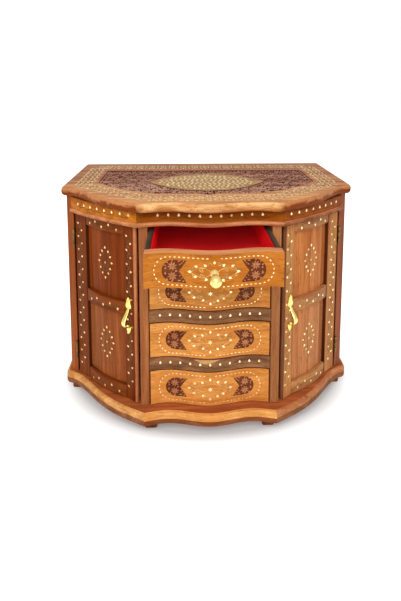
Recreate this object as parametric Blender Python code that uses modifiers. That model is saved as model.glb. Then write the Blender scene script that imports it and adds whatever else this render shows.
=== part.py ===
"""Inlaid wooden table cabinet with two bow-fronted doors and four serpentine drawers.

Metres, +Z up, front towards -Y. The top drawer stands pulled out, the rest is shut.
"""

import math

import bmesh
import bpy
from mathutils import Matrix

# Plan of the top and base boards, measured from their straight back edge.
TOP_HALF_WIDTH = 0.170
SIDE_LENGTH = 0.150
DEPTH = 0.2267
FRONT_HALF = 0.0704
WAVE_DEPTH = 0.0034
WAVE_LENGTH = 0.090
OGEE_DEPTH = 0.0045
OGEE_SKEW = 0.68
SIDE_CORNER = 0.007
BACK_CORNER = 0.005

# Whole height, and the heights that it holds from the floor up.
HEIGHT = 0.254
FOOT_HEIGHT = 0.013
BASE_THICK = 0.014
TOP_DRAWER_HEIGHT = 0.0335
RAIL_HEIGHT = 0.0138
DRAWER_GAP = 0.0007
TOP_DRAWER_GAP = 0.0042
CORNICE_THICK = 0.0045
FRIEZE_HEIGHT = 0.012
TOP_THICK = 0.011

# Carcass planks.
SIDE_OVERHANG = 0.0055
BACK_OVERHANG = 0.004
FRONT_OVERHANG = 0.0142
SIDE_THICK = 0.0095
BACK_THICK = 0.006
PARTITION_HALF = 0.0746
PARTITION_THICK = 0.0096
RAIL_THICK = 0.011
DIVIDER_THICK = 0.005
FRIEZE_THICK = 0.008
FRIEZE_PROUD = 0.0035
FRIEZE_BOW = 0.004
LIP_PROUD = 0.0065
FOOT_SIZE = 0.013
FOOT_INSET = 0.009
BASE_LOW_ROUND = 0.0015
TOP_ROUND = 0.0045
BASE_ROUND = 0.003

# Carved field of the top: margins to the board's edges, medallion and main scrolls.
FIELD_SIDE_MARGIN = 0.040
FIELD_BACK_MARGIN = 0.055
FIELD_FRONT_MARGIN = 0.0437
FIELD_CORNER_MARGIN = 0.023
FIELD_FRONT_INSET = 0.0124
FIELD_BULGE = 0.012
FIELD_LOBE_HALF = 0.014
FIELD_LOBE = 0.0055
FIELD_SAG = 0.001
CARVE_DEPTH = 0.0012
MEDALLION_HALF_WIDTH = 0.070
MEDALLION_HALF_DEPTH = 0.0475
MEDALLION_BACK = 0.0775
MEDALLION_SCALLOP = 0.05
MEDALLION_FULLNESS = 2.2
SCROLL_PITCH = 0.018
SCROLL_ROW = 0.0155
SCROLL_RADIUS = 0.0068
SCROLL_EYE = 0.0019
SCROLL_RIB = 0.0015
SCROLL_MARGIN = 0.0012
SCROLL_TURNS = 1.25

# Doors.
DOOR_THICK = 0.010
DOOR_RAIL_THICK = 0.009
DOOR_CLEARANCE = 0.001
LOCK_GAP = 0.0025
HINGE_STILE = 0.0181
LOCK_STILE = 0.0186
LOCK_BEAD = 0.0055
BEAD_QUIRK = 0.0008
TOP_RAIL = 0.012
MIDDLE_RAIL = 0.0143
BOTTOM_RAIL = 0.014
MIDDLE_RAIL_HEIGHT = 0.131
DOOR_BOW = 0.004
PANEL_THICK = 0.004
PANEL_RECESS = 0.0045
GROOVE = 0.0025

# Butt hinges and bow handles.
HINGE_GAP = 0.0024
HINGE_LENGTH = 0.020
HINGE_INSET = 0.030
KNUCKLE_RADIUS = 0.0014
PIN_RADIUS = 0.0007
PIN_CLEARANCE = 0.0001
LEAF_THICK = 0.0006
LEAF_WIDTH = 0.0055
LEAF_SETBACK = 0.0008
HANDLE_HEIGHT = 0.126
HANDLE_LENGTH = 0.041
HANDLE_REACH = 0.0105
HANDLE_ROD = 0.0011
HANDLE_NECK = 0.55
HANDLE_LEAN = 1.8
STRAP_WIDENING = 2.4
STRAP_ROOT = 0.65
PLATE_LENGTH = 0.013
PLATE_HALF = 0.0040
LOW_PLATE_LENGTH = 0.0095
LOW_PLATE_HALF = 0.0034
PLATE_THICK = 0.0014

# Drawers: one at the top, the rest of one height below it.
LOWER_DRAWERS = 3
FRONT_THICK = 0.013
DRAWER_PULL = 0.067
DRAWER_SIDE_GAP = 0.0006
BOX_DROP = 0.003
BOX_WALL = 0.005
BOX_BOTTOM = 0.0035
BOX_STOP = 0.0005
LINING_THICK = 0.0012
LINING_DROP = 0.001
KNOB_LENGTH = 0.024
KNOB_RADIUS = 0.0056

# Clearance between touching pieces, and how finely curves are cut.
GAP = 0.0003
WAVE_STEPS = 12
OGEE_STEPS = 14
BOW_STEPS = 10
HANDLE_STEPS = 18
KNOB_STEPS = 20
FIELD_STEPS = 12
MEDALLION_STEPS = 24
SCROLL_STEPS = 11

# Eased edges of the planks.
CRISP_EDGE = 0.0006
SOFT_EDGE = 0.0008
POST_EDGE = 0.0012
FOOT_EDGE = 0.0015

# Sizes that follow from the ones above.
SLANT = math.atan2(DEPTH - SIDE_LENGTH, TOP_HALF_WIDTH - FRONT_HALF)
BODY_HALF = TOP_HALF_WIDTH - SIDE_OVERHANG
FACE_Y = FRONT_OVERHANG - DEPTH
CORNER_Y = FACE_Y + (BODY_HALF - PARTITION_HALF) * math.tan(SLANT)
SLANT_LENGTH = (BODY_HALF - PARTITION_HALF) / math.cos(SLANT)
POST_WIDTH = SIDE_THICK / math.cos(SLANT)
INNER_HALF = BODY_HALF - SIDE_THICK
INNER_CORNER_Y = CORNER_Y - SIDE_THICK * math.tan(SLANT)
BACK_INNER_Y = -BACK_OVERHANG - BACK_THICK
OPENING_HALF = PARTITION_HALF - PARTITION_THICK
MITRE = math.tan(SLANT / 2)

BASE_TOP = FOOT_HEIGHT + BASE_THICK
TOP_BOTTOM = HEIGHT - TOP_THICK
CORNICE_TOP = TOP_BOTTOM - FRIEZE_HEIGHT
CORNICE_BOTTOM = CORNICE_TOP - CORNICE_THICK
SHELF = {1: CORNICE_BOTTOM - TOP_DRAWER_GAP - TOP_DRAWER_HEIGHT - DRAWER_GAP}
STEP = (SHELF[1] - BASE_TOP) / LOWER_DRAWERS
for lower in range(1, LOWER_DRAWERS + 1):
    SHELF[lower + 1] = SHELF[1] - lower * STEP
DRAWER_HEIGHT = STEP - RAIL_HEIGHT - 2 * DRAWER_GAP

DOOR_BOTTOM = BASE_TOP + DOOR_CLEARANCE
DOOR_TOP = CORNICE_BOTTOM - DOOR_CLEARANCE
STILE_START = POST_WIDTH + HINGE_GAP
STILE_END = STILE_START + HINGE_STILE
LOCK_END = SLANT_LENGTH - LOCK_GAP
LOCK_START = LOCK_END - LOCK_STILE
BEAD_START = LOCK_END - LOCK_BEAD
HINGE_ALONG = POST_WIDTH + HINGE_GAP / 2
HINGE_OUT = KNUCKLE_RADIUS + GAP

DRAWER_HALF = OPENING_HALF - DRAWER_SIDE_GAP
BOX_BACK = BACK_INNER_Y - BOX_STOP - FACE_Y
LINING_HALF = DRAWER_HALF - BOX_WALL - GAP
BULGE = WAVE_DEPTH * (1 - math.cos(2 * math.pi * OPENING_HALF / WAVE_LENGTH))
FRONT_MOST = FACE_Y - BULGE - DRAWER_PULL - GAP - KNOB_LENGTH
ORIGIN_Y = -FRONT_MOST / 2


def material(name, colour, roughness, metallic=0.0):
    mat = bpy.data.materials.new(name)
    mat.use_nodes = True
    shader = mat.node_tree.nodes["Principled BSDF"]
    shader.inputs["Base Color"].default_value = (*colour, 1.0)
    shader.inputs["Roughness"].default_value = roughness
    shader.inputs["Metallic"].default_value = metallic
    return mat


def empty(name, location, turn=0.0, parent=None):
    pivot = bpy.data.objects.new(name, None)
    pivot.location = location
    pivot.rotation_euler = (0.0, 0.0, turn)
    pivot.parent = parent
    bpy.context.scene.collection.objects.link(pivot)
    return pivot


def closed_mesh(source, placing):
    """Mesh of a curve object, moved, welded and with its flat faces made whole."""
    bpy.context.scene.collection.objects.link(source)
    graph = bpy.context.evaluated_depsgraph_get()
    mesh = bpy.data.meshes.new_from_object(source.evaluated_get(graph))
    bpy.data.objects.remove(source)
    mesh.transform(placing)
    work = bmesh.new()
    work.from_mesh(mesh)
    bmesh.ops.remove_doubles(work, verts=work.verts, dist=1e-6)
    bmesh.ops.dissolve_limit(work, angle_limit=0.001, verts=work.verts, edges=work.edges)
    bmesh.ops.recalc_face_normals(work, faces=work.faces)
    work.to_mesh(mesh)
    work.free()
    return mesh


def piece(name, mesh, mat, parent):
    mesh.name = name
    mesh.materials.clear()
    mesh.materials.append(mat)
    part = bpy.data.objects.new(name, mesh)
    part.parent = parent
    bpy.context.scene.collection.objects.link(part)
    return part


def slab_mesh(outline, bottom, top, holes=()):
    """Solid mesh with the given plan outline, and holes in it, between two heights."""
    curve = bpy.data.curves.new("plan", "CURVE")
    curve.dimensions = "2D"
    curve.fill_mode = "BOTH"
    curve.extrude = (top - bottom) / 2
    for path in (outline, *holes):
        spline = curve.splines.new("POLY")
        spline.points.add(len(path) - 1)
        for point, (x, y) in zip(spline.points, path):
            point.co = (x, y, 0.0, 1.0)
        spline.use_cyclic_u = True
    source = bpy.data.objects.new("plan", curve)
    return closed_mesh(source, Matrix.Translation((0.0, 0.0, (bottom + top) / 2)))


def slab(name, outline, bottom, top, mat, parent):
    return piece(name, slab_mesh(outline, bottom, top), mat, parent)


def round_rim(part, height, width, segments):
    """Round the edges of a slab that lie at one height."""
    work = bmesh.new()
    work.from_mesh(part.data)
    rim = [e for e in work.edges if all(abs(v.co.z - height) < 1e-6 for v in e.verts)]
    bmesh.ops.bevel(
        work, geom=rim, offset=width, offset_type="OFFSET", segments=segments,
        profile=0.5, affect="EDGES", clamp_overlap=True,
    )
    bmesh.ops.remove_doubles(work, verts=work.verts, dist=1e-6)
    work.to_mesh(part.data)
    work.free()


def soften(part, width, segments=1):
    bevel = part.modifiers.new("soft edges", "BEVEL")
    bevel.width = width
    bevel.segments = segments
    bevel.limit_method = "ANGLE"
    bevel.angle_limit = math.radians(40)


def combine(part, helper, operation):
    helper.hide_render = True
    helper.display_type = "WIRE"
    boolean = part.modifiers.new(helper.name, "BOOLEAN")
    boolean.operation = operation
    boolean.solver = "EXACT"
    boolean.object = helper


def block(x0, x1, y0, y1):
    return [(x0, y0), (x1, y0), (x1, y1), (x0, y1)]


def circle(x, y, radius, count=16):
    turn = 2 * math.pi / count
    return [
        (x + radius * math.cos(i * turn), y + radius * math.sin(i * turn)) for i in range(count)
    ]


def mirrored(half):
    """Whole outline from its right half, listed from the front centre to the back."""
    return half + [(-x, y) for x, y in reversed(half) if x > 1e-9]


def wave(x, edge):
    """How far the serpentine stands in front of its ends at plus and minus edge."""
    turn = 2 * math.pi / WAVE_LENGTH
    return WAVE_DEPTH * (math.cos(turn * x) - math.cos(turn * edge))


def front_run(half, y, edge):
    """Serpentine from the middle to half, its ends on the line y at edge."""
    steps = [half * i / WAVE_STEPS for i in range(WAVE_STEPS + 1)]
    return [(x, y - wave(x, edge)) for x in steps]


def on_slant(side, along, out):
    """Plan point on a door bay, from the side corner towards the front post."""
    x = BODY_HALF - along * math.cos(SLANT) + out * math.sin(SLANT)
    return (side * x, CORNER_Y - along * math.sin(SLANT) - out * math.cos(SLANT))


def corner_arc(before, corner, after):
    arc = []
    for t in (0.0, 0.25, 0.5, 0.75, 1.0):
        a, b, c = (1 - t) ** 2, 2 * t * (1 - t), t * t
        arc.append(tuple(a * p + b * q + c * r for p, q, r in zip(before, corner, after)))
    return arc


def board_outline():
    """Plan of the top and base boards."""
    side = (TOP_HALF_WIDTH, -SIDE_LENGTH)
    front = (FRONT_HALF, -DEPTH)
    out = (math.sin(SLANT), -math.cos(SLANT))

    def ogee(t):
        rise = -OGEE_DEPTH * math.sin(2 * math.pi * t ** OGEE_SKEW)
        return tuple(s + (f - s) * t + n * rise for s, f, n in zip(side, front, out))

    half = front_run(FRONT_HALF, -DEPTH, FRONT_HALF)
    first = SIDE_CORNER / math.dist(side, front)
    steps = [1 - (1 - first) * i / OGEE_STEPS for i in range(1, OGEE_STEPS)]
    half += [ogee(t) for t in steps]
    half += corner_arc(ogee(first), side, (side[0], side[1] + SIDE_CORNER))
    half += corner_arc(
        (TOP_HALF_WIDTH, -BACK_CORNER), (TOP_HALF_WIDTH, 0.0), (TOP_HALF_WIDTH - BACK_CORNER, 0.0)
    )
    return mirrored(half)


def field_outline():
    """Plan of the carved field: straight back, curved front corners and a small front lobe."""
    side = (TOP_HALF_WIDTH - FIELD_SIDE_MARGIN, FIELD_CORNER_MARGIN - SIDE_LENGTH)
    front = (FRONT_HALF - FIELD_FRONT_INSET, FIELD_FRONT_MARGIN - DEPTH)
    crown = ((side[0] + front[0]) / 2 + FIELD_BULGE * math.sin(SLANT),
             (side[1] + front[1]) / 2 - FIELD_BULGE * math.cos(SLANT))
    steps = [i / FIELD_STEPS for i in range(FIELD_STEPS + 1)]
    half = []
    for t in steps[::3]:
        lobe = FIELD_LOBE * (1 + math.cos(math.pi * t)) / 2
        half.append((FIELD_LOBE_HALF * t, front[1] - FIELD_SAG - lobe))
    for t in steps:
        a, b, c = (1 - t) ** 2, 2 * t * (1 - t), t * t
        half.append(tuple(a * p + b * q + c * r for p, q, r in zip(front, crown, side)))
    half += [(side[0], -FIELD_BACK_MARGIN), (0.0, -FIELD_BACK_MARGIN)]
    return mirrored(half)


def medallion_outline():
    """Plan of the almond in the field, with scalloped sides and pointed ends."""
    middle = -MEDALLION_BACK - MEDALLION_HALF_DEPTH
    steps = [i / MEDALLION_STEPS for i in range(MEDALLION_STEPS + 1)]
    edge = []
    for t in steps:
        scallop = 1 - MEDALLION_SCALLOP * abs(math.sin(3 * math.pi * t))
        depth = MEDALLION_HALF_DEPTH * (1 - t ** MEDALLION_FULLNESS) * scallop
        edge.append((MEDALLION_HALF_WIDTH * t, depth))
    half = [(x, middle - y) for x, y in edge] + [(x, middle + y) for x, y in edge[-2::-1]]
    return mirrored(half)


def is_inside(x, y, outline):
    hit = False
    for (xa, ya), (xb, yb) in zip(outline, outline[1:] + outline[:1]):
        if (ya > y) != (yb > y) and x < xa + (y - ya) / (yb - ya) * (xb - xa):
            hit = not hit
    return hit


def room(x, y, outline):
    """Distance from a place to the nearest edge of an outline."""
    least = math.inf
    for (xa, ya), (xb, yb) in zip(outline, outline[1:] + outline[:1]):
        run = ((x - xa) * (xb - xa) + (y - ya) * (yb - ya)) / ((xb - xa) ** 2 + (yb - ya) ** 2)
        run = min(1.0, max(0.0, run))
        least = min(least, math.hypot(x - xa - run * (xb - xa), y - ya - run * (yb - ya)))
    return least


def scroll_outline(x, y, start, hand):
    """Plan of one carved scroll that winds in to its eye and tapers on the way."""
    outer, inner = [], []
    for i in range(SCROLL_STEPS + 1):
        t = i / SCROLL_STEPS
        angle = start + hand * 2 * math.pi * SCROLL_TURNS * t
        radius = SCROLL_RADIUS - (SCROLL_RADIUS - SCROLL_EYE) * t
        rib = SCROLL_RIB * (1 - t / 2) / 2
        for run, reach in ((outer, radius + rib), (inner, radius - rib)):
            run.append((x + reach * math.cos(angle), y + reach * math.sin(angle)))
    return outer + inner[::-1]


def field_scrolls(field, medallion):
    """Scrolls in staggered rows, wherever a whole one fits in the field."""
    reach = SCROLL_RADIUS + SCROLL_RIB / 2 + SCROLL_MARGIN
    half = TOP_HALF_WIDTH - FIELD_SIDE_MARGIN - reach
    rows = int((DEPTH - FIELD_BACK_MARGIN - FIELD_FRONT_MARGIN + FIELD_LOBE) / SCROLL_ROW) + 1
    columns = int(half / SCROLL_PITCH) + 1
    scrolls = []
    for row in range(rows):
        y = -FIELD_BACK_MARGIN - reach - row * SCROLL_ROW
        for column in range(-columns, columns + 1):
            x = (column + 0.5 * (row % 2)) * SCROLL_PITCH
            if not is_inside(x, y, field) or is_inside(x, y, medallion):
                continue
            if min(room(x, y, field), room(x, y, medallion)) > reach:
                scrolls.append(scroll_outline(x, y, row + 2 * column, 1 if column % 2 else -1))
    return scrolls


def bow(t, depth):
    return depth * (1 - (2 * t - 1) ** 2)


def bow_run(start, end, out, depth):
    """Points (along, out) of a bowed line between two places on a door bay."""
    steps = [i / BOW_STEPS for i in range(BOW_STEPS + 1)]
    return [(start + (end - start) * t, out + bow(t, depth)) for t in steps]


def bowed_strip(start, end, out, thick, depth):
    front = bow_run(start, end, out, depth)
    back = bow_run(start, end, out - thick, depth)
    return front + back[::-1]


def mitre_point(side, out):
    """Front corner of the body, moved out by the same distance from both faces."""
    return (side * (PARTITION_HALF + out * MITRE), FACE_Y - out)


def add_carcass(root):
    top = slab("top_board", board_outline(), TOP_BOTTOM + GAP, HEIGHT, TOP_WOOD, root)
    round_rim(top, HEIGHT, TOP_ROUND, 3)
    round_rim(top, TOP_BOTTOM + GAP, TOP_ROUND, 3)
    field, medallion = field_outline(), medallion_outline()
    holes = [medallion, *field_scrolls(field, medallion)]
    ground = slab_mesh(field, HEIGHT - CARVE_DEPTH, HEIGHT + CARVE_DEPTH, holes)
    combine(top, piece("top_carving", ground, TOP_WOOD, root), "DIFFERENCE")
    base = slab("base_board", board_outline(), FOOT_HEIGHT + GAP, BASE_TOP, BASE_WOOD, root)
    round_rim(base, BASE_TOP, BASE_ROUND, 2)
    round_rim(base, FOOT_HEIGHT + GAP, BASE_LOW_ROUND, 2)

    plank_bottom = BASE_TOP + GAP
    plank_top = TOP_BOTTOM
    back_y = -BACK_OVERHANG
    back = block(GAP - INNER_HALF, INNER_HALF - GAP, BACK_INNER_Y, back_y)
    slab("back_panel", back, plank_bottom, plank_top, BODY_WOOD, root)
    lip = front_run(PARTITION_HALF + LIP_PROUD * MITRE, FACE_Y - LIP_PROUD,
                    PARTITION_HALF + LIP_PROUD * MITRE)
    lip_end = POST_WIDTH + GAP / math.cos(SLANT)
    run = bow_run(SLANT_LENGTH, lip_end, LIP_PROUD, FRIEZE_BOW)
    lip += [on_slant(1, along, out) for along, out in run[1:]]
    lip += [on_slant(1, lip_end, 0.0), (INNER_HALF - GAP, BACK_INNER_Y - GAP)]
    cornice = slab("cornice_board", mirrored(lip), CORNICE_BOTTOM, CORNICE_TOP - GAP, BODY_WOOD, root)
    soften(cornice, CORNICE_THICK / 4, 2)

    for side, word in ((-1, "left"), (1, "right")):
        outline = [(side * BODY_HALF, CORNER_Y), (side * INNER_HALF, INNER_CORNER_Y),
                   (side * INNER_HALF, back_y), (side * BODY_HALF, back_y)]
        panel = slab("side_panel_" + word, outline, plank_bottom, plank_top, BODY_WOOD, root)
        soften(panel, SOFT_EDGE)
        outline = block(side * PARTITION_HALF, side * OPENING_HALF, FACE_Y, BACK_INNER_Y - GAP)
        plank = slab("partition_" + word, outline, plank_bottom, CORNICE_BOTTOM - GAP, BODY_WOOD, root)
        soften(plank, POST_EDGE, 2)

        run = bow_run(lip_end, SLANT_LENGTH, FRIEZE_PROUD, FRIEZE_BOW)[:-1]
        inner = bow_run(lip_end, SLANT_LENGTH, FRIEZE_PROUD - FRIEZE_THICK, FRIEZE_BOW)[:-1]
        outline = [on_slant(side, *p) for p in run]
        joint = (side * GAP * math.cos(SLANT / 2), GAP * math.sin(SLANT / 2))
        for proud in (FRIEZE_PROUD, FRIEZE_PROUD - FRIEZE_THICK):
            x, y = mitre_point(side, proud)
            outline.append((x + joint[0], y + joint[1]))
        outline += [on_slant(side, *p) for p in inner[::-1]]
        slab("frieze_" + word, outline, CORNICE_TOP, TOP_BOTTOM, RAIL_WOOD, root)

    edge = PARTITION_HALF + FRIEZE_PROUD * MITRE
    inner_edge = PARTITION_HALF + (FRIEZE_PROUD - FRIEZE_THICK) * MITRE
    outline = front_run(edge, FACE_Y - FRIEZE_PROUD, edge)
    outline += [(inner_edge * x / edge, y + FRIEZE_THICK) for x, y in outline[::-1]]
    slab("frieze_front", mirrored(outline), CORNICE_TOP, TOP_BOTTOM, RAIL_WOOD, root)

    half = OPENING_HALF - GAP
    for number in range(1, LOWER_DRAWERS + 1):
        outline = front_run(half, FACE_Y, OPENING_HALF)
        outline += [(x, y + RAIL_THICK) for x, y in outline[::-1]]
        rail = slab(f"rail_{number}", mirrored(outline), SHELF[number] - RAIL_HEIGHT, SHELF[number],
                    RAIL_WOOD, root)
        soften(rail, CRISP_EDGE)
        outline = [(x, y + GAP) for x, y in outline[WAVE_STEPS + 1:]][::-1]
        outline.append((half, BACK_INNER_Y - GAP))
        slab(f"divider_{number}", mirrored(outline), SHELF[number] - DIVIDER_THICK, SHELF[number],
             PALE_WOOD, root)

    foot_x = BODY_HALF - FOOT_SIZE / 2
    spots = {
        "front": (FRONT_HALF - FOOT_SIZE / 2, FACE_Y + FOOT_SIZE / 2),
        "side": (foot_x, FOOT_INSET - SIDE_LENGTH + FOOT_SIZE / 2),
        "back": (foot_x, -FOOT_INSET - FOOT_SIZE / 2),
    }
    for place, (x, y) in spots.items():
        for side, word in ((-1, "left"), (1, "right")):
            outline = block(side * x - FOOT_SIZE / 2, side * x + FOOT_SIZE / 2,
                            y - FOOT_SIZE / 2, y + FOOT_SIZE / 2)
            foot = slab(f"foot_{place}_{word}", outline, 0.0, FOOT_HEIGHT, BODY_WOOD, root)
            soften(foot, FOOT_EDGE)


def knuckle_spans(middle):
    """Heights of the lower, middle and upper knuckles of a hinge."""
    third = HINGE_LENGTH / 3
    low = middle - HINGE_LENGTH / 2
    return [(low + i * third + GAP / 2, low + (i + 1) * third - GAP / 2) for i in range(3)]


def add_frame_leaf(side, name, middle, root):
    """Leaf on the side plank, two knuckles and the pin riveted into them."""
    hinge_x, hinge_y = on_slant(side, HINGE_ALONG, HINGE_OUT)
    x0, x1 = side * (INNER_HALF - GAP), side * (INNER_HALF - GAP - LEAF_THICK)
    spans = knuckle_spans(middle)
    start = INNER_CORNER_Y + LEAF_THICK
    leaf = slab(name, block(x0, x1, start, start + LEAF_WIDTH), spans[0][0], spans[2][1], BRASS, root)
    for part, span in (("low", spans[0]), ("high", spans[2])):
        tab = block(x0, x1, hinge_y, start + GAP)
        tab = slab(f"{name}_{part}_tab", tab, span[0] + GAP, span[1] - GAP, BRASS, root)
        combine(leaf, tab, "UNION")
        barrel = circle(hinge_x, hinge_y, KNUCKLE_RADIUS)
        combine(leaf, slab(f"{name}_{part}_barrel", barrel, *span, BRASS, root), "UNION")
    pin = circle(hinge_x, hinge_y, PIN_RADIUS)
    pin = slab(name + "_pin", pin, spans[0][0] + GAP, spans[2][1] - GAP, BRASS, root)
    combine(leaf, pin, "UNION")


def add_door(side, word, root):
    axis_x, axis_y = on_slant(side, HINGE_ALONG, HINGE_OUT)
    turn = -SLANT if side < 0 else SLANT - math.pi
    pivot = empty(f"door_{word}", (axis_x, axis_y, 0.0), turn, root)
    prefix = f"door_{word}_"

    def local(points):
        return [(along - HINGE_ALONG, side * (out - HINGE_OUT)) for along, out in points]

    def add(name, points, bottom, top, mat):
        return slab(prefix + name, local(points), bottom, top, mat, pivot)

    slot_front = GAP - PANEL_RECESS
    slot_back = -PANEL_RECESS - PANEL_THICK - GAP
    stile = [(STILE_START, 0.0), (STILE_END, 0.0), (STILE_END, slot_front),
             (STILE_END - GROOVE, slot_front), (STILE_END - GROOVE, slot_back),
             (STILE_END, slot_back), (STILE_END, -DOOR_THICK), (STILE_START, -DOOR_THICK)]
    soften(add("hinge_stile", stile, DOOR_BOTTOM, DOOR_TOP, DOOR_WOOD), CRISP_EDGE)
    cant = math.tan(SLANT)
    bevelled = LOCK_END - DOOR_THICK * cant
    stile = corner_arc((LOCK_END - LOCK_BEAD * cant, -LOCK_BEAD), (LOCK_END, 0.0), (BEAD_START, 0.0))
    stile += [(BEAD_START - BEAD_QUIRK / 2, -BEAD_QUIRK), (BEAD_START - BEAD_QUIRK, 0.0),
              (LOCK_START, 0.0), (LOCK_START, slot_front),
              (LOCK_START + GROOVE, slot_front), (LOCK_START + GROOVE, slot_back),
              (LOCK_START, slot_back), (LOCK_START, -DOOR_THICK), (bevelled, -DOOR_THICK)]
    soften(add("lock_stile", stile, DOOR_BOTTOM, DOOR_TOP, DOOR_WOOD), CRISP_EDGE)

    middle_low = MIDDLE_RAIL_HEIGHT - MIDDLE_RAIL / 2
    middle_high = MIDDLE_RAIL_HEIGHT + MIDDLE_RAIL / 2
    rail = bowed_strip(STILE_END + GAP, LOCK_START - GAP, 0.0, DOOR_RAIL_THICK, DOOR_BOW)
    spans = {
        "top_rail": (DOOR_TOP - TOP_RAIL, DOOR_TOP),
        "middle_rail": (middle_low, middle_high),
        "bottom_rail": (DOOR_BOTTOM, DOOR_BOTTOM + BOTTOM_RAIL),
    }
    for name, span in spans.items():
        soften(add(name, rail, *span, DOOR_WOOD), CRISP_EDGE)
    sheet = bowed_strip(STILE_END + GAP, LOCK_START - GAP, -PANEL_RECESS, PANEL_THICK, DOOR_BOW)
    tongue = GROOVE - 2 * GAP
    tongues = [(STILE_END - tongue, out) for out in (-PANEL_RECESS - PANEL_THICK, -PANEL_RECESS)]
    sheet = tongues + sheet[:BOW_STEPS + 1]
    sheet += [(LOCK_START + tongue, out) for _, out in tongues[::-1]]
    sheet += [(along, out - PANEL_THICK) for along, out in sheet[BOW_STEPS + 2:1:-1]]
    add("upper_panel", sheet, middle_high + GAP, DOOR_TOP - TOP_RAIL - GAP, DOOR_WOOD)
    add("lower_panel", sheet, DOOR_BOTTOM + BOTTOM_RAIL + GAP, middle_low - GAP, DOOR_WOOD)

    for height, middle in (("upper", DOOR_TOP - HINGE_INSET), ("lower", DOOR_BOTTOM + HINGE_INSET)):
        add_frame_leaf(side, f"hinge_frame_leaf_{height}_{word}", middle, root)
        spans = knuckle_spans(middle)
        front, back = STILE_START - GAP - LEAF_THICK, STILE_START - GAP
        plate = block(front, back, -LEAF_SETBACK, -LEAF_SETBACK - LEAF_WIDTH)
        name = "leaf_" + height
        leaf = add(name, plate, spans[0][0], spans[2][1], BRASS)
        low, high = spans[1]
        tab = block(front, back, HINGE_OUT, -LEAF_SETBACK - GAP)
        combine(leaf, add(name + "_tab", tab, low + GAP, high - GAP, BRASS), "UNION")
        barrel = circle(HINGE_ALONG, HINGE_OUT, KNUCKLE_RADIUS)
        combine(leaf, add(name + "_barrel", barrel, low, high, BRASS), "UNION")
        bore = circle(HINGE_ALONG, HINGE_OUT, PIN_RADIUS + PIN_CLEARANCE)
        combine(leaf, add(name + "_bore", bore, low - GAP, high + GAP, BRASS), "DIFFERENCE")
    add_handle(side, prefix + "handle", pivot)


def add_handle(side, name, pivot):
    """Swan-necked strap handle, deepest near its lower end, with a spade plate at each end."""
    centre = (LOCK_START + BEAD_START) / 2 - HINGE_ALONG
    face = GAP - HINGE_OUT
    upright = Matrix(((1, 0, 0, centre), (0, 0, side, side * face), (0, 1, 0, HANDLE_HEIGHT), (0, 0, 0, 1)))
    lobed = [(0.0, 0.0), (0.34, 0.12), (0.62, 0.30), (0.70, 0.52), (0.96, 0.68), (1.0, 0.80), (0.84, 0.93)]
    spade = [(0.0, 0.0), (0.42, 0.18), (0.80, 0.42), (1.0, 0.68), (0.90, 0.88)]
    plates = []
    for sign, word, half, length, shape in (
        (1, "", PLATE_HALF, PLATE_LENGTH, lobed),
        (-1, "_low_plate", LOW_PLATE_HALF, LOW_PLATE_LENGTH, spade),
    ):
        right = [(half * x, sign * (HANDLE_LENGTH / 2 - length * y)) for x, y in shape]
        right.append((0.0, sign * (HANDLE_LENGTH / 2 - length)))
        mesh = slab_mesh(right + [(-x, y) for x, y in right[-2:0:-1]], 0.0, PLATE_THICK)
        mesh.transform(upright)
        if side < 0:
            mesh.flip_normals()
        plates.append(piece(name + word, mesh, BRASS, pivot))
    curve = bpy.data.curves.new("strap", "CURVE")
    curve.dimensions = "3D"
    curve.bevel_depth = HANDLE_ROD
    curve.bevel_resolution = 2
    curve.use_fill_caps = True
    spline = curve.splines.new("POLY")
    spline.points.add(HANDLE_STEPS)
    high = HANDLE_HEIGHT + HANDLE_LENGTH / 2 - PLATE_LENGTH * STRAP_ROOT
    low = HANDLE_HEIGHT - HANDLE_LENGTH / 2 + LOW_PLATE_LENGTH * STRAP_ROOT
    for i, point in enumerate(spline.points):
        fall = i / HANDLE_STEPS
        swing = math.sin(math.pi * fall ** HANDLE_LEAN)
        out = PLATE_THICK / 2 + (HANDLE_REACH - HANDLE_ROD - PLATE_THICK / 2) * swing
        point.co = (0.0, side * (face + out), high + (low - high) * fall, 1.0)
        point.radius = HANDLE_NECK + (1 - HANDLE_NECK) * swing
    widen = Matrix.Translation((centre, 0.0, 0.0)) @ Matrix.Diagonal((STRAP_WIDENING, 1.0, 1.0, 1.0))
    strap = piece(name + "_strap", closed_mesh(bpy.data.objects.new("strap", curve), widen), BRASS, pivot)
    combine(plates[0], plates[1], "UNION")
    combine(plates[0], strap, "UNION")


def add_knob(name, drawer, height):
    """Turned knob: collar, neck, ball and tip, its axis towards the front."""
    profile = [
        (0.0, 0.0), (0.68, 0.0), (0.72, 0.05), (0.62, 0.17), (0.40, 0.25), (0.32, 0.38), (0.45, 0.48),
        (0.78, 0.55), (0.97, 0.66), (1.0, 0.74), (0.90, 0.84), (0.62, 0.92), (0.25, 0.955),
        (0.16, 0.985), (0.0, 1.0),
    ]
    mesh = bpy.data.meshes.new(name)
    verts = [(r * KNOB_RADIUS, 0.0, z * KNOB_LENGTH) for r, z in profile]
    mesh.from_pydata(verts, [(i, i + 1) for i in range(len(verts) - 1)], [])
    knob = piece(name, mesh, BRASS, drawer)
    knob.location = (0.0, -BULGE - GAP, height)
    knob.rotation_euler = (math.pi / 2, 0.0, 0.0)
    screw = knob.modifiers.new("turning", "SCREW")
    screw.axis = "Z"
    screw.steps = KNOB_STEPS
    screw.render_steps = KNOB_STEPS
    screw.use_merge_vertices = True
    screw.merge_threshold = 1e-6
    screw.use_normal_calculate = True


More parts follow.
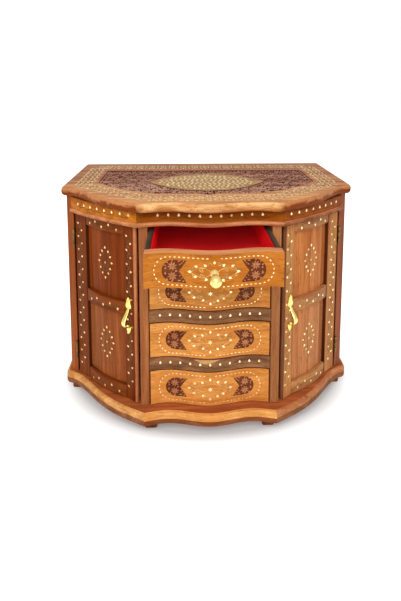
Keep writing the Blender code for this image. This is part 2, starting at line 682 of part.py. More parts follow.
def add_drawer(number, pull, root):
    lift = SHELF[number] + GAP
    drawer = empty(f"drawer_{number}", (0.0, FACE_Y - pull, lift), 0.0, root)
    tall = TOP_DRAWER_HEIGHT if number == 1 else DRAWER_HEIGHT
    low = DRAWER_GAP - GAP
    prefix = f"drawer_{number}_"

    outline = front_run(DRAWER_HALF, 0.0, OPENING_HALF)
    outline += [(x, y + FRONT_THICK) for x, y in outline[::-1]]
    front = slab(prefix + "front", mirrored(outline), low, low + tall, FRONT_WOOD, drawer)
    soften(front, SOFT_EDGE)

    box_top = low + tall - BOX_DROP
    outline = front_run(DRAWER_HALF, FRONT_THICK + GAP, OPENING_HALF) + [(DRAWER_HALF, BOX_BACK)]
    box = slab(prefix + "box", mirrored(outline), 0.0, box_top, PALE_WOOD, drawer)
    half = DRAWER_HALF - BOX_WALL
    hollow = block(-half, half, -FRONT_THICK, BOX_BACK - BOX_WALL)
    hollow = slab(prefix + "box_hollow", hollow, BOX_BOTTOM, tall * 2, PALE_WOOD, drawer)
    combine(box, hollow, "DIFFERENCE")

    rear = BOX_BACK - BOX_WALL - GAP
    outline = front_run(LINING_HALF, FRONT_THICK + 2 * GAP, OPENING_HALF) + [(LINING_HALF, rear)]
    lining = slab(prefix + "lining", mirrored(outline), BOX_BOTTOM + GAP, box_top - LINING_DROP,
                  VELVET, drawer)
    half = LINING_HALF - LINING_THICK
    inside = front_run(half, FRONT_THICK + 2 * GAP + LINING_THICK, OPENING_HALF)
    inside.append((half, rear - LINING_THICK))
    inside = slab(prefix + "lining_hollow", mirrored(inside), BOX_BOTTOM + GAP + LINING_THICK, tall * 2,
                  VELVET, drawer)
    combine(lining, inside, "DIFFERENCE")
    if number == 1:
        add_knob(prefix + "knob", drawer, low + tall / 2)


for default in list(bpy.data.objects):
    bpy.data.objects.remove(default)

TOP_WOOD = material("top wood", (0.50, 0.29, 0.16), 0.45)
BODY_WOOD = material("body wood", (0.28, 0.10, 0.04), 0.45)
DOOR_WOOD = material("door wood", (0.30, 0.11, 0.04), 0.45)
BASE_WOOD = material("base wood", (0.55, 0.25, 0.09), 0.45)
FRONT_WOOD = material("drawer front wood", (0.56, 0.25, 0.07), 0.45)
RAIL_WOOD = material("rail wood", (0.14, 0.06, 0.04), 0.5)
PALE_WOOD = material("drawer lining wood", (0.50, 0.33, 0.18), 0.6)
BRASS = material("brass", (0.72, 0.52, 0.20), 0.3, 1.0)
VELVET = material("red velvet", (0.60, 0.01, 0.02), 0.9)

cabinet = empty("cabinet", (0.0, ORIGIN_Y, 0.0))
add_carcass(cabinet)
add_door(-1, "left", cabinet)
add_door(1, "right", cabinet)
for drawer_number in (1, 2, 3, 4):
    add_drawer(drawer_number, DRAWER_PULL if drawer_number == 1 else 0.0, cabinet)
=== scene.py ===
import math

import bpy
from mathutils import Matrix, Vector


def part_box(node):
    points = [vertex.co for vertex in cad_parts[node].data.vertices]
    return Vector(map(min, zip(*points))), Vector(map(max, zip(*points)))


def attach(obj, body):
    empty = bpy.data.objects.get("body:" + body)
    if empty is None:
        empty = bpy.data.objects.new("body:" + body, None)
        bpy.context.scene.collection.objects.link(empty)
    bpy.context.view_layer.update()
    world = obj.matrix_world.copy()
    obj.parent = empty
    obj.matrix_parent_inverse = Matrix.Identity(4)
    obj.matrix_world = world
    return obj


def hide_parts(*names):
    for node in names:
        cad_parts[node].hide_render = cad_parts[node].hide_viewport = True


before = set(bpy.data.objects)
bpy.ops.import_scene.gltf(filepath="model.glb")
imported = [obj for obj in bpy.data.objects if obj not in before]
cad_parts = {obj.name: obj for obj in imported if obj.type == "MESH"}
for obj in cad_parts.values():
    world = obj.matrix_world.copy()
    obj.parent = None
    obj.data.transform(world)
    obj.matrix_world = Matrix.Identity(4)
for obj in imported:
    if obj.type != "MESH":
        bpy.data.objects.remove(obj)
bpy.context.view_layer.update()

# The inlaid cabinet as it is finished: wood, brass inlay, carving and velvet on its CAD pieces.

MM = 0.001
SIDES = {"left": -1, "right": 1}
HEIGHTS = ("upper", "lower")
DRAWERS = (1, 2, 3, 4)
QUARTERS = ((-1, -1), (-1, 1), (1, -1), (1, 1))
X_WAY = (1, 0, 0)
Y_WAY = (0, 1, 0)
Z_WAY = (0, 0, 1)

# Plan of the cabinet. A bay is the slanted front that holds a door.
BAY_DEEP = 76.7
BAY_WIDE = 99.6
SLANT = math.atan2(BAY_DEEP, BAY_WIDE)
WAVE_DEPTH = 3.4 * MM
WAVE_LENGTH = 90.0 * MM
FACE_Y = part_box("partition_right")[0].y
POST_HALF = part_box("partition_right")[1].x
BODY_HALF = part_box("side_panel_right")[1].x
CORNER_Y = FACE_Y + (BODY_HALF - POST_HALF) * math.tan(SLANT)
BACK_EDGE_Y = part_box("top_board")[1].y
TOP_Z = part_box("top_board")[1].z

# Drawings start clear of their board. The top settles, so that brass on it stays inside the CAD box.
CLEAR = 40.0 * MM
SETTLE = 0.3 * MM
# Points nearer than a hair touch. A normal that rises by more than half of its length points upwards.
HAIR = 0.01 * MM
UPWARDS = 0.5


# Working at the bench: picking pieces up, joining them and laying them on a board.

def only(*parts):
    """Select these pieces and nothing else, the first one active."""
    bpy.ops.object.select_all(action="DESELECT")
    for part in parts:
        part.select_set(True)
    bpy.context.view_layer.objects.active = parts[0]


def edit(part):
    """Go into edit mode with the whole piece selected."""
    only(part)
    bpy.ops.object.mode_set(mode="EDIT")
    bpy.ops.mesh.select_all(action="SELECT")


def pick(part, test, kind="VERT"):
    """Go into edit mode with only the points or faces that pass the test selected."""
    edit(part)
    bpy.ops.mesh.select_mode(type=kind)
    bpy.ops.mesh.select_all(action="DESELECT")
    bpy.ops.object.mode_set(mode="OBJECT")
    for item in part.data.vertices if kind == "VERT" else part.data.polygons:
        item.select = test(item)
    bpy.ops.object.mode_set(mode="EDIT")


def put_down():
    """Leave edit mode."""
    bpy.ops.object.mode_set(mode="OBJECT")


def new_piece(name, data):
    """Put a new object on the bench."""
    part = bpy.data.objects.new(name, data)
    bpy.context.scene.collection.objects.link(part)
    return part


def apply_all(part):
    """Apply the piece's modifiers in their order."""
    only(part)
    for step in [m.name for m in part.modifiers]:
        bpy.ops.object.modifier_apply(modifier=step)


def joined(name, parts):
    """One piece made of several."""
    only(*parts)
    if len(parts) > 1:
        bpy.ops.object.join()
    parts[0].name = name
    return parts[0]


def dress(part, body, finish):
    """Give a new piece its finish and the body that it moves with."""
    part.data.materials.clear()
    part.data.materials.append(finish)
    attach(part, body)
    return part


def smooth(part, degrees):
    """Shade smoothly over edges that turn less than so many degrees."""
    only(part)
    bpy.ops.object.shade_smooth_by_angle(angle=math.radians(degrees))


def stand(spot, out):
    """Placing of a flat drawing in front of a board: right, up and out."""
    up = Vector(Y_WAY if out.z > UPWARDS else Z_WAY)
    turn = Matrix((up.cross(out), up, out)).transposed().to_4x4()
    return Matrix.Translation(spot + out * CLEAR) @ turn


def bay_corner(side):
    """Foot of the corner between a bay and the side of the cabinet."""
    return Vector((side * BODY_HALF, CORNER_Y, 0.0))


def bay_run(side):
    """Way along a bay, from its side corner to the front."""
    return Vector((-side * math.cos(SLANT), -math.sin(SLANT), 0.0))


def on_front(node):
    """Placing in front of the middle of a piece of the serpentine front."""
    low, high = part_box(node)
    return stand(Vector((0.0, low.y, (low.z + high.z) / 2)), Vector((0.0, -1.0, 0.0)))


def on_bay(side, along, height):
    """Placing in front of a bay, along mm from its side corner and height mm up."""
    out = Vector((side * math.sin(SLANT), -math.cos(SLANT), 0.0))
    spot = bay_corner(side) + Vector((0.0, 0.0, height * MM))
    return stand(spot + bay_run(side) * along * MM, out)


def on_top():
    """Placing above the middle of the top's back edge."""
    return stand(Vector((0.0, BACK_EDGE_Y, TOP_Z)), Vector(Z_WAY))


def polyline(curve, points, closed=False):
    """Straight run on a curve through points in mm."""
    spline = curve.splines.new("POLY")
    spline.points.add(len(points) - 1)
    for point, (x, y) in zip(spline.points, points):
        point.co = (x * MM, y * MM, 0.0, 1.0)
    spline.use_cyclic_u = closed


def meshed(name, curve):
    """New piece with the mesh of a flat curve."""
    part = new_piece(name, curve)
    only(part)
    bpy.ops.object.convert(target="MESH")
    return part


def cut_out(name, *outlines):
    """Flat filled shape from outlines in mm; an outline inside another is a hole."""
    curve = bpy.data.curves.new(name, "CURVE")
    curve.dimensions = "2D"
    curve.fill_mode = "BOTH"
    for outline in outlines:
        polyline(curve, outline, closed=True)
    return meshed(name, curve)


def wires(name, runs, width):
    """Flat wires of one width in mm along runs of points in mm."""
    edge = bpy.data.curves.new("wire edge", "CURVE")
    polyline(edge, ((-width / 2, 0.0), (width / 2, 0.0)))
    edge = new_piece("wire edge", edge)
    curve = bpy.data.curves.new(name, "CURVE")
    curve.dimensions = "2D"
    curve.fill_mode = "NONE"
    curve.bevel_mode = "OBJECT"
    curve.bevel_object = edge
    for run in runs:
        polyline(curve, run)
    part = meshed(name, curve)
    bpy.data.objects.remove(edge)
    return part


def slice_up(part, step):
    """Cut a flat shape across every step mm, so that it can follow a curved board."""
    ends = [p.co.x for p in part.data.vertices]
    x = min(ends) + step * MM
    edit(part)
    while x < max(ends):
        bpy.ops.mesh.select_all(action="SELECT")
        bpy.ops.mesh.bisect(plane_co=(x, 0.0, 0.0), plane_no=X_WAY)
        x += step * MM
    put_down()


def face_up(part):
    """Turn every face of a flat drawing upwards."""
    pick(part, lambda face: face.normal.z < 0, "FACE")
    bpy.ops.mesh.flip_normals()
    put_down()


def thicken(part, thickness, offset):
    """Give a flat drawing a thickness in mm and leave it where it was placed."""
    thick = part.modifiers.new("thick", "SOLIDIFY")
    thick.thickness = thickness * MM
    thick.offset = offset
    apply_all(part)
    bpy.ops.object.transform_apply()
    return part


def press(part, board, placing, proud, sunk):
    """Lay a flat drawing on a board and give it thickness, so many mm proud and sunk."""
    face_up(part)
    part.matrix_world = placing
    lay = part.modifiers.new("lay", "SHRINKWRAP")
    lay.wrap_method = "PROJECT"
    lay.use_project_z = True
    lay.use_negative_direction = True
    lay.use_positive_direction = False
    lay.target = board
    return thicken(part, proud + sunk, (proud - sunk) / (proud + sunk))


def rise(part, low, high):
    """Stand a flat drawing of the top up from one depth in mm to another."""
    face_up(part)
    part.matrix_world = Matrix.Translation((0.0, BACK_EDGE_Y, TOP_Z - low * MM))
    return thicken(part, low - high, 1.0)


def carve(board, cutter):
    """Cut a pocket into a board; its floor takes the cutter's finish."""
    cut = board.modifiers.new("pocket", "BOOLEAN")
    cut.operation = "DIFFERENCE"
    cut.solver = "EXACT"
    cut.material_mode = "TRANSFER"
    cut.object = cutter
    apply_all(board)
    bpy.data.objects.remove(cutter)


# Finishes.

def colour(code):
    """Linear colour of an sRGB hex value."""
    parts = [int(code[i:i + 2], 16) / 255 for i in (1, 3, 5)]
    return [c / 12.92 if c <= 0.04045 else ((c + 0.055) / 1.055) ** 2.4 for c in parts] + [1.0]


def feed(tree, node, feeds):
    """Put values or links on the sockets of a node."""
    for key, value in feeds.items():
        if isinstance(value, bpy.types.NodeSocket):
            tree.links.new(value, node.inputs[key])
        else:
            node.inputs[key].default_value = value


def add(tree, kind, feeds=None, **settings):
    """Add a shader node, with its settings and with values or links on its sockets."""
    made = tree.nodes.new("ShaderNode" + kind)
    for key, value in settings.items():
        setattr(made, key, value)
    feed(tree, made, feeds or {})
    return made


def new_finish(name):
    """New material, with its nodes, its shader and the place on the piece."""
    mat = bpy.data.materials.new(name)
    mat.use_nodes = True
    tree = mat.node_tree
    return mat, tree, tree.nodes["Principled BSDF"], add(tree, "TexCoord").outputs["Object"]


def lie(grain, across):
    """Turn of a wood pattern whose grain and width run along two directions."""
    grain, across = Vector(grain), Vector(across)
    return tuple(Matrix((grain, across, grain.cross(across))).transposed().to_euler())


BAY_RUN = {word: (math.cos(SLANT), side * math.sin(SLANT), 0) for word, side in SIDES.items()}
UPRIGHT = {word: lie(Z_WAY, run) for word, run in BAY_RUN.items()}
LEVEL = {word: lie(run, Z_WAY) for word, run in BAY_RUN.items()}
ACROSS = lie(X_WAY, Z_WAY)
FLAT = lie(X_WAY, Y_WAY)
STANDING = lie(Z_WAY, X_WAY)
SIDE_STANDING = lie(Z_WAY, Y_WAY)
FORE_AND_AFT = lie(Y_WAY, Z_WAY)

# Sockets that go by number: those of a range, then the share, the two colours and the result of a mix.
VALUE, FROM_LOW, FROM_HIGH, TO_LOW, TO_HIGH = range(5)
SHARE, FIRST, SECOND, MIXED = 0, 6, 7, 2

# Figure of the wood: length and width of each kind of mark in mm, and the detail of its noise.
FIGURE = {"band": (150, 8.0, 3), "fibre": (40, 1.5, 2), "pore": (11, 0.8, 1)}
WAVER = 0.7
BANDS = {FROM_LOW: 0.32, FROM_HIGH: 0.68}
THREADS = {FROM_LOW: 0.3, FROM_HIGH: 0.7, TO_LOW: 0.8, TO_HIGH: 1.12}
PORES = {FROM_LOW: 0.6, FROM_HIGH: 0.72, TO_HIGH: 0.65}
STAVE_TONES = {TO_LOW: -0.35, TO_HIGH: 0.35}
STAVE_SEAMS = {FROM_LOW: 0.0, FROM_HIGH: 0.035, TO_LOW: 0.7, TO_HIGH: 0.0}
FIBRE_GLOSS = (-0.08, 0.1)
FIBRE_BUMP = {"Strength": 0.25, "Distance": 0.25 * MM}
WAX = {"IOR": 1.45, "Specular IOR Level": 0.08}
# Roughness of wood, by how it was left.
WAXED = 0.45
PLANED = 0.55
DRY = 0.6
BARE = 0.65
BURNT = 0.7


def timber(name, dark, light, streak, turn, rough=WAXED, stave=0.0, worn_and_painted_light=None, corner=None):
    """Planed, stained and waxed hardwood: soft growth bands, fibres and open dark pores.

    Pores of 0.3 mm are drawn about 0.8 mm wide, because finer ones don't show in the render.
    Staves of a width in mm differ in tone; painted light makes the wood paler at the first of two places
    on an axis, where it stands lit, and darker towards the second, where it stands in shade.
    At a corner, between two distances from the middle, the wood turns to another pair of tones with its
    own painted light.
    """
    mat, tree, shader, here = new_finish(name)
    noise = {}
    for part, (long, wide, detail) in FIGURE.items():
        turned = {"Vector": here, "Rotation": turn, "Scale": (long * MM, wide * MM, wide * MM)}
        spread = add(tree, "Mapping", turned, vector_type="TEXTURE")
        feeds = {"Vector": spread.outputs[0], "Scale": 1.0, "Detail": detail, "Distortion": WAVER}
        noise[part] = add(tree, "TexNoise", feeds).outputs[0]
    tone = add(tree, "MapRange", {VALUE: noise["band"], **BANDS}).outputs[0]
    if stave:
        turned = {"Vector": here, "Rotation": turn, "Scale": (1.0, stave * MM, 1.0)}
        spread = add(tree, "Mapping", turned, vector_type="TEXTURE")
        lane = add(tree, "SeparateXYZ", {0: spread.outputs[0]}).outputs["Y"]
        number = add(tree, "Math", {0: lane}, operation="FLOOR").outputs[0]
        pitch = add(tree, "TexWhiteNoise", {"W": number}, noise_dimensions="1D").outputs["Value"]
        shift = add(tree, "MapRange", {VALUE: pitch, **STAVE_TONES}).outputs[0]
        tone = add(tree, "Math", {0: tone, 1: shift}, operation="ADD", use_clamp=True).outputs[0]

    def stained(dark, light, worn_and_painted_light):
        """Colour of the growth bands between two tones, with painted light along an axis where it is
        given.
        """
        shade = tone
        if worn_and_painted_light:
            axis, pale, deep, change = worn_and_painted_light
            place = add(tree, "SeparateXYZ", {0: here}).outputs[axis]
            light_span = {FROM_LOW: pale, FROM_HIGH: deep, TO_LOW: change, TO_HIGH: -change}
            shift = add(tree, "MapRange", {VALUE: place, **light_span}).outputs[0]
            shade = add(tree, "Math", {0: tone, 1: shift}, operation="ADD", use_clamp=True).outputs[0]
        feeds = {SHARE: shade, FIRST: colour(dark), SECOND: colour(light)}
        return add(tree, "Mix", feeds, data_type="RGBA").outputs[MIXED]

    wood = stained(dark, light, worn_and_painted_light)
    if corner:
        near, far, tones = corner
        aside = add(tree, "SeparateXYZ", {0: here}).outputs["X"]
        aside = add(tree, "Math", {0: aside}, operation="ABSOLUTE").outputs[0]
        past = add(tree, "MapRange", {VALUE: aside, FROM_LOW: near, FROM_HIGH: far}).outputs[0]
        feeds = {SHARE: past, FIRST: wood, SECOND: stained(*tones)}
        wood = add(tree, "Mix", feeds, data_type="RGBA").outputs[MIXED]
    thread = add(tree, "MapRange", {VALUE: noise["fibre"], **THREADS}).outputs[0]
    feeds = {SHARE: 1.0, FIRST: wood, SECOND: thread}
    wood = add(tree, "Mix", feeds, data_type="RGBA", blend_type="MULTIPLY").outputs[MIXED]
    open_pore = add(tree, "MapRange", {VALUE: noise["pore"], **PORES}).outputs[0]
    feeds = {SHARE: open_pore, FIRST: wood, SECOND: colour(streak)}
    wood = add(tree, "Mix", feeds, data_type="RGBA").outputs[MIXED]
    if stave:
        rest = add(tree, "Math", {0: lane}, operation="FRACT").outputs[0]
        seam = add(tree, "MapRange", {VALUE: rest, **STAVE_SEAMS}).outputs[0]
        feeds = {SHARE: seam, FIRST: wood, SECOND: colour(streak)}
        wood = add(tree, "Mix", feeds, data_type="RGBA").outputs[MIXED]
    gloss, dull = FIBRE_GLOSS
    feeds = {VALUE: noise["fibre"], TO_LOW: rough + gloss, TO_HIGH: rough + dull}
    shine = add(tree, "MapRange", feeds).outputs[0]
    lift = add(tree, "Math", {0: noise["fibre"], 1: open_pore}, operation="SUBTRACT").outputs[0]
    bump = add(tree, "Bump", {"Height": lift, **FIBRE_BUMP}).outputs[0]
    feed(tree, shader, {"Base Color": wood, "Roughness": shine, "Normal": bump, **WAX})
    return mat


# Brass: size of its tarnished patches and file marks, and what they do.
TARNISH_SIZE = 6 * MM
TARNISH = {FROM_LOW: 0.45, FROM_HIGH: 0.68}
TARNISH_DULLS = 0.15
FILE_MARK_SIZE = 0.8 * MM
FILE_BUMP = {"Strength": 0.12, "Distance": 0.1 * MM}
# Roughness of brass, by how it was worked.
POLISHED = 0.32
DRAWN = 0.42
FILED = 0.46
BLACKENED = 0.5
MATT = 0.6


def brass(name, bright, dull, rough):
    """Yellow brass, filed and rubbed: warm gloss, with duller patches where it has tarnished."""
    mat, tree, shader, here = new_finish(name)
    feeds = {"Vector": here, "Scale": 1 / TARNISH_SIZE, "Detail": 3.0}
    patch = add(tree, "TexNoise", feeds).outputs[0]
    worn_and_painted_light = add(tree, "MapRange", {VALUE: patch, **TARNISH}).outputs[0]
    feeds = {SHARE: worn_and_painted_light, FIRST: colour(bright), SECOND: colour(dull)}
    skin = add(tree, "Mix", feeds, data_type="RGBA").outputs[MIXED]
    feeds = {VALUE: worn_and_painted_light, TO_LOW: rough, TO_HIGH: rough + TARNISH_DULLS}
    shine = add(tree, "MapRange", feeds).outputs[0]
    feeds = {"Vector": here, "Scale": 1 / FILE_MARK_SIZE, "Detail": 2.0}
    marks = add(tree, "TexNoise", feeds).outputs[0]
    bump = add(tree, "Bump", {"Height": marks, **FILE_BUMP}).outputs[0]
    feed(tree, shader, {"Base Color": skin, "Roughness": shine, "Normal": bump, "Metallic": 1.0})
    return mat


# Velvet: size of its brushed patches and tufts, and its sheen.
BRUSHED_SIZE = 22 * MM
NAP = {FROM_LOW: 0.35, FROM_HIGH: 0.65}
TUFT_SIZE = 0.9 * MM
TUFT_BUMP = {"Strength": 0.4, "Distance": 0.3 * MM}
PILE = {"Roughness": 0.95, "Sheen Weight": 1.0, "Sheen Roughness": 0.35, "Sheen Tint": colour("#ff0a1c")}


def velvet(name, laid, raised):
    """Cut-pile red velvet: deep matt colour, a pale bloom at a slant and brushed patches."""
    mat, tree, shader, here = new_finish(name)
    feeds = {"Vector": here, "Scale": 1 / BRUSHED_SIZE, "Detail": 2.0}
    brushed = add(tree, "TexNoise", feeds).outputs[0]
    nap = add(tree, "MapRange", {VALUE: brushed, **NAP}).outputs[0]
    feeds = {SHARE: nap, FIRST: colour(laid), SECOND: colour(raised)}
    skin = add(tree, "Mix", feeds, data_type="RGBA").outputs[MIXED]
    feeds = {"Vector": here, "Scale": 1 / TUFT_SIZE, "Detail": 1.0}
    tuft = add(tree, "TexNoise", feeds).outputs[0]
    bump = add(tree, "Bump", {"Height": tuft, **TUFT_BUMP}).outputs[0]
    feed(tree, shader, {"Base Color": skin, "Normal": bump, **PILE})
    return mat


# Painted light on a finish: an axis, the palest and the deepest place on it, and how far the tone
# changes.
# The top and its carved scrolls are painted paler at the front and darker at the back: painted light from
# the lamp in front.
LIT_FRONT_Y, SHADED_BACK_Y = -75.0 * MM, 45.0 * MM
TOP_FRONT_LIGHT = ("Y", LIT_FRONT_Y, SHADED_BACK_Y, 0.4)
FIELD_FRONT_LIGHT = ("Y", LIT_FRONT_Y, SHADED_BACK_Y, 0.25)
# The rounded edge of the top is painted with a highlight along its upper side and painted shade below it.
FRONT_EDGE_HIGHLIGHT = ("Z", TOP_Z - 1.0 * MM, TOP_Z - 10.0 * MM, 0.45)
SIDE_EDGE_HIGHLIGHT = ("Z", TOP_Z - 1.6 * MM, TOP_Z - 6.6 * MM, 0.7)
# The friezes are painted darker towards the top: painted shade under the overhang of the top.
FRIEZE_TOP_SHADE = ("Z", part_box("frieze_front")[0].z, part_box("frieze_front")[1].z, 0.45)
# The lower drawer fronts are painted darker towards the right: painted shade.
FRONT_SHADE_TO_RIGHT = ("X", -60.0 * MM, 60.0 * MM, 0.2)
# The right post is painted paler towards the top: painted light.
POST_TOP_LIGHT = ("Z", 225.0 * MM, 100.0 * MM, 0.35)
# The lip is painted with a highlight along its top and shade below it.
LIP_HIGHLIGHT = ("Z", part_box("cornice_board")[1].z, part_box("cornice_board")[0].z, 0.4)
# Past its front corners, the top's edge turns to deeper tones.
TOP_CORNER = (66.0 * MM, 76.0 * MM, ("#8a3e0a", "#d58d5a", SIDE_EDGE_HIGHLIGHT))

TOP_WOOD = timber("waxed sheesham top", "#b66c3c", "#ffb776", "#85502c", FLAT, worn_and_painted_light=TOP_FRONT_LIGHT)
TOP_EDGE = timber(
    "rubbed_and_painted_light sheesham edge", "#c47433", "#ffc886", "#855028", ACROSS, worn_and_painted_light=FRONT_EDGE_HIGHLIGHT, corner=TOP_CORNER
)
MEDALLION_WOOD = timber("olive stained medallion", "#b8884c", "#dca668", "#886638", FLAT)
BASE_WOOD = timber("rubbed_and_painted_light sheesham plinth", "#d8893e", "#ffb768", "#9c5b28", ACROSS)
BASE_FACE = timber("stained sheesham plinth face", "#994b25", "#c46b3a", "#6c3416", FLAT)
# Dark foot bands of the plinth: painted shade under its moulding.
BASE_SHADE_BAND = timber("stained plinth foot band", "#7c4020", "#a05c34", "#552a14", ACROSS, DRY)
BASE_SIDE_SHADE_BAND = timber("rubbed_and_painted_light plinth foot band", "#84502f", "#a96f4a", "#5d3520", ACROSS, DRY)
FRONT_WOOD = timber(
    "golden sheesham drawer front", "#cd7b31", "#f1a353", "#9e5b23", ACROSS, worn_and_painted_light=FRONT_SHADE_TO_RIGHT
)
TOP_FRONT_WOOD = timber("deep sheesham drawer front", "#b5651a", "#d68433", "#884a18", ACROSS)
FRONT_EDGE = timber("planed drawer edge", "#e48f56", "#ffb074", "#ad683a", ACROSS, DRY)
SHADOWED_DRAWER_TOP = timber("painted_shadow drawer edge", "#653619", "#8a4f28", "#432310", ACROSS, BARE)
RAIL_WOOD = timber("dark stained rail", "#734930", "#a47049", "#4b3020", ACROSS)
POST_WOOD = timber("waxed sheesham post", "#965330", "#bf7845", "#6b381c", STANDING)
LIT_POST_WOOD = timber("rubbed_and_painted_light sheesham post", "#a2653c", "#cc8550", "#6b381c", STANDING, worn_and_painted_light=POST_TOP_LIGHT)
LIP_WOOD = timber("waxed sheesham lip", "#ac5e30", "#e69c68", "#7c3f1e", ACROSS, worn_and_painted_light=LIP_HIGHLIGHT)
LIP_SHADE = timber("painted_shade sheesham lip", "#7c4426", "#b67450", "#5e3420", ACROSS, worn_and_painted_light=LIP_HIGHLIGHT)
BACK_WOOD = timber(
    "plain sheesham back board", "#8a4b26", "#b3703f", "#60331a", STANDING, PLANED, stave=62.0
)
BOX_WOOD = timber("bare drawer side", "#4a3a2f", "#75604e", "#30251d", FORE_AND_AFT, BARE)
SHELF_WOOD = timber("bare shelf", "#a97a4c", "#d0a06c", "#7f5833", ACROSS, BARE)
FOOT_WOOD = timber("turned foot", "#673a20", "#8c5432", "#452512", STANDING)
PALE_PATCH = timber("worn sapwood patch", "#c58f52", "#e8b878", "#946436", ACROSS, DRY)
RECESS_SHADE_WOOD = timber("painted_shade recess edge", "#3d1a0b", "#5c2b13", "#2a1208", STANDING, BURNT)

# Dark and light tone of the boards that come in a few tones. The frieze, plinth edge, bead and door tones
# are painted light: copies of one wood, with the front and right friezes, the right plinth edge, the
# right bead and the whole left door darker as painted shade.
FRIEZE_LIT_AND_SHADED_TONES = {
    "front": ("#7c3a04", "#a55810"),
    "left": ("#a85a14", "#d88529"),
    "right": ("#823c0a", "#a9581c"),
}
BASE_EDGE_LIT_AND_SHADED_TONES = {"left": ("#d18a47", "#feba72"), "right": ("#b46a3c", "#dc9262")}
SIDE_TONES = {"left": ("#8a4018", "#b66028"), "right": ("#874629", "#ad613c")}
BEAD_LIT_AND_SHADED_TONES = {"left": ("#ad643a", "#d68958"), "right": ("#663a26", "#8a5638")}
DOOR_LIT_AND_SHADED_TONES = {
    "left": {
        "stile": ("#68290a", "#8d4316"),
        "rail": ("#73340e", "#96491a"),
        "upper": ("#79320a", "#a24e18"),
        "lower": ("#934c22", "#be6f3a"),
    },
    "right": {
        "stile": ("#b06a3c", "#da9558"),
        "rail": ("#ab6c40", "#d4945c"),
        "upper": ("#b3602a", "#dd8b4c"),
        "lower": ("#b1683e", "#df935a"),
    },
}
FRIEZE_WOOD = {}
BASE_EDGE = {}
SIDE_WOOD = {}
BEAD_WOOD = {}
STILE_WOOD = {}
DOOR_RAIL_WOOD = {}
PANEL_WOOD = {}
for word, tones in FRIEZE_LIT_AND_SHADED_TONES.items():
    FRIEZE_WOOD[word] = timber(f"red stained frieze {word}", *tones, "#5f2d0c", ACROSS, worn_and_painted_light=FRIEZE_TOP_SHADE)
for word, tones in BASE_EDGE_LIT_AND_SHADED_TONES.items():
    BASE_EDGE[word] = timber(f"worn plinth edge {word}", *tones, "#8f5a34", ACROSS)
for word, door in DOOR_LIT_AND_SHADED_TONES.items():
    SIDE_WOOD[word] = timber(f"waxed side {word}", *SIDE_TONES[word], "#5f3015", SIDE_STANDING)
    BEAD_WOOD[word] = timber(f"rubbed_and_painted_light door bead {word}", *BEAD_LIT_AND_SHADED_TONES[word], "#6a3a1e", UPRIGHT[word])
    STILE_WOOD[word] = timber(f"waxed door stile {word}", *door["stile"], "#5f2d12", UPRIGHT[word])
    DOOR_RAIL_WOOD[word] = timber(f"waxed door rail {word}", *door["rail"], "#5f2e14", LEVEL[word])
    for height in HEIGHTS:
        name = f"staved {height} panel {word}"
        PANEL_WOOD[height, word] = timber(name, *door[height], "#5c290d", UPRIGHT[word], stave=24.0)

CARVED_GROUND = timber("stained carving ground", "#50281d", "#6e3c2e", "#2c1510", FLAT, BURNT)
CARVED_SCROLL = timber("carved scroll", "#b87a62", "#f2bea0", "#8f5b48", FLAT, DRY, worn_and_painted_light=FIELD_FRONT_LIGHT)
FLOWER_GROUND = timber("burnt flower ground", "#602c17", "#804628", "#3c1a0a", ACROSS, BURNT)
FLOWER_WOOD = timber("carved flower", "#ae6641", "#d28e61", "#7c4426", ACROSS, DRY)
INLAY_BRASS = brass("filed brass inlay", "#fae2b2", "#d9b578", FILED)
SHADED_LEAF_BRASS = brass("shade_dimmed brass inlay", "#f2c08a", "#d0965c", FILED)
WIRE_BRASS = brass("tarnished brass wire", "#c6a667", "#8a7244", DRAWN)
OLIVE_WIRE = brass("olive brass wire", "#a08850", "#6f5c36", BLACKENED)
DARK_WIRE = brass("blackened brass wire", "#6a5530", "#463820", BLACKENED)
# The left door's darker wire and dimmer, redder leaves are painted shade, matching its shaded wood.
DOOR_WIRE = {"left": DARK_WIRE, "right": OLIVE_WIRE}
DOOR_LEAF = {"left": SHADED_LEAF_BRASS, "right": INLAY_BRASS}
CAST_BRASS = brass("cast brass handle", "#f6e28a", "#dcbf5c", POLISHED)
COLLAR_HIGHLIGHT_BRASS = brass("matt brass collar", "#fff2b4", "#f2dc92", MATT)
HINGE_BRASS = brass("dull brass hinge", "#7c5c34", "#48341d", DRAWN)
VELVET = velvet("red cotton velvet", "#ec0209", "#ff0810")


# Boards that keep their CAD shape.

def paint(finish, *nodes):
    """Give whole CAD pieces a finish."""
    for node in nodes:
        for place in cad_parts[node].material_slots:
            place.material = finish


paint(BACK_WOOD, "back_panel")
paint(POST_WOOD, "partition_left")
# The right post takes a paler copy of the post wood than the left one, which stands in the open drawer's
# shadow: painted light.
paint(LIT_POST_WOOD, "partition_right")
paint(SHELF_WOOD, "divider_1", "divider_2", "divider_3")
paint(BOX_WOOD, *[f"drawer_{n}_box" for n in DRAWERS])
paint(FOOT_WOOD, *[f"foot_{place}_{word}" for place in ("front", "side", "back") for word in SIDES])
for word in SIDES:
    paint(SIDE_WOOD[word], "side_panel_" + word)
    for height in HEIGHTS:
        paint(HINGE_BRASS, f"hinge_frame_leaf_{height}_{word}", f"door_{word}_leaf_{height}")


# Boards with a moulded or bowed face, whose shading has to run smoothly round it.

# Angles in degrees: facets that turn less are one face, and edges that turn more stay crisp.
FACET_ANGLE = 0.3
CRISP_ANGLE = 35
CARVED_CRISP_ANGLE = 28
TRAY_CRISP_ANGLE = 50


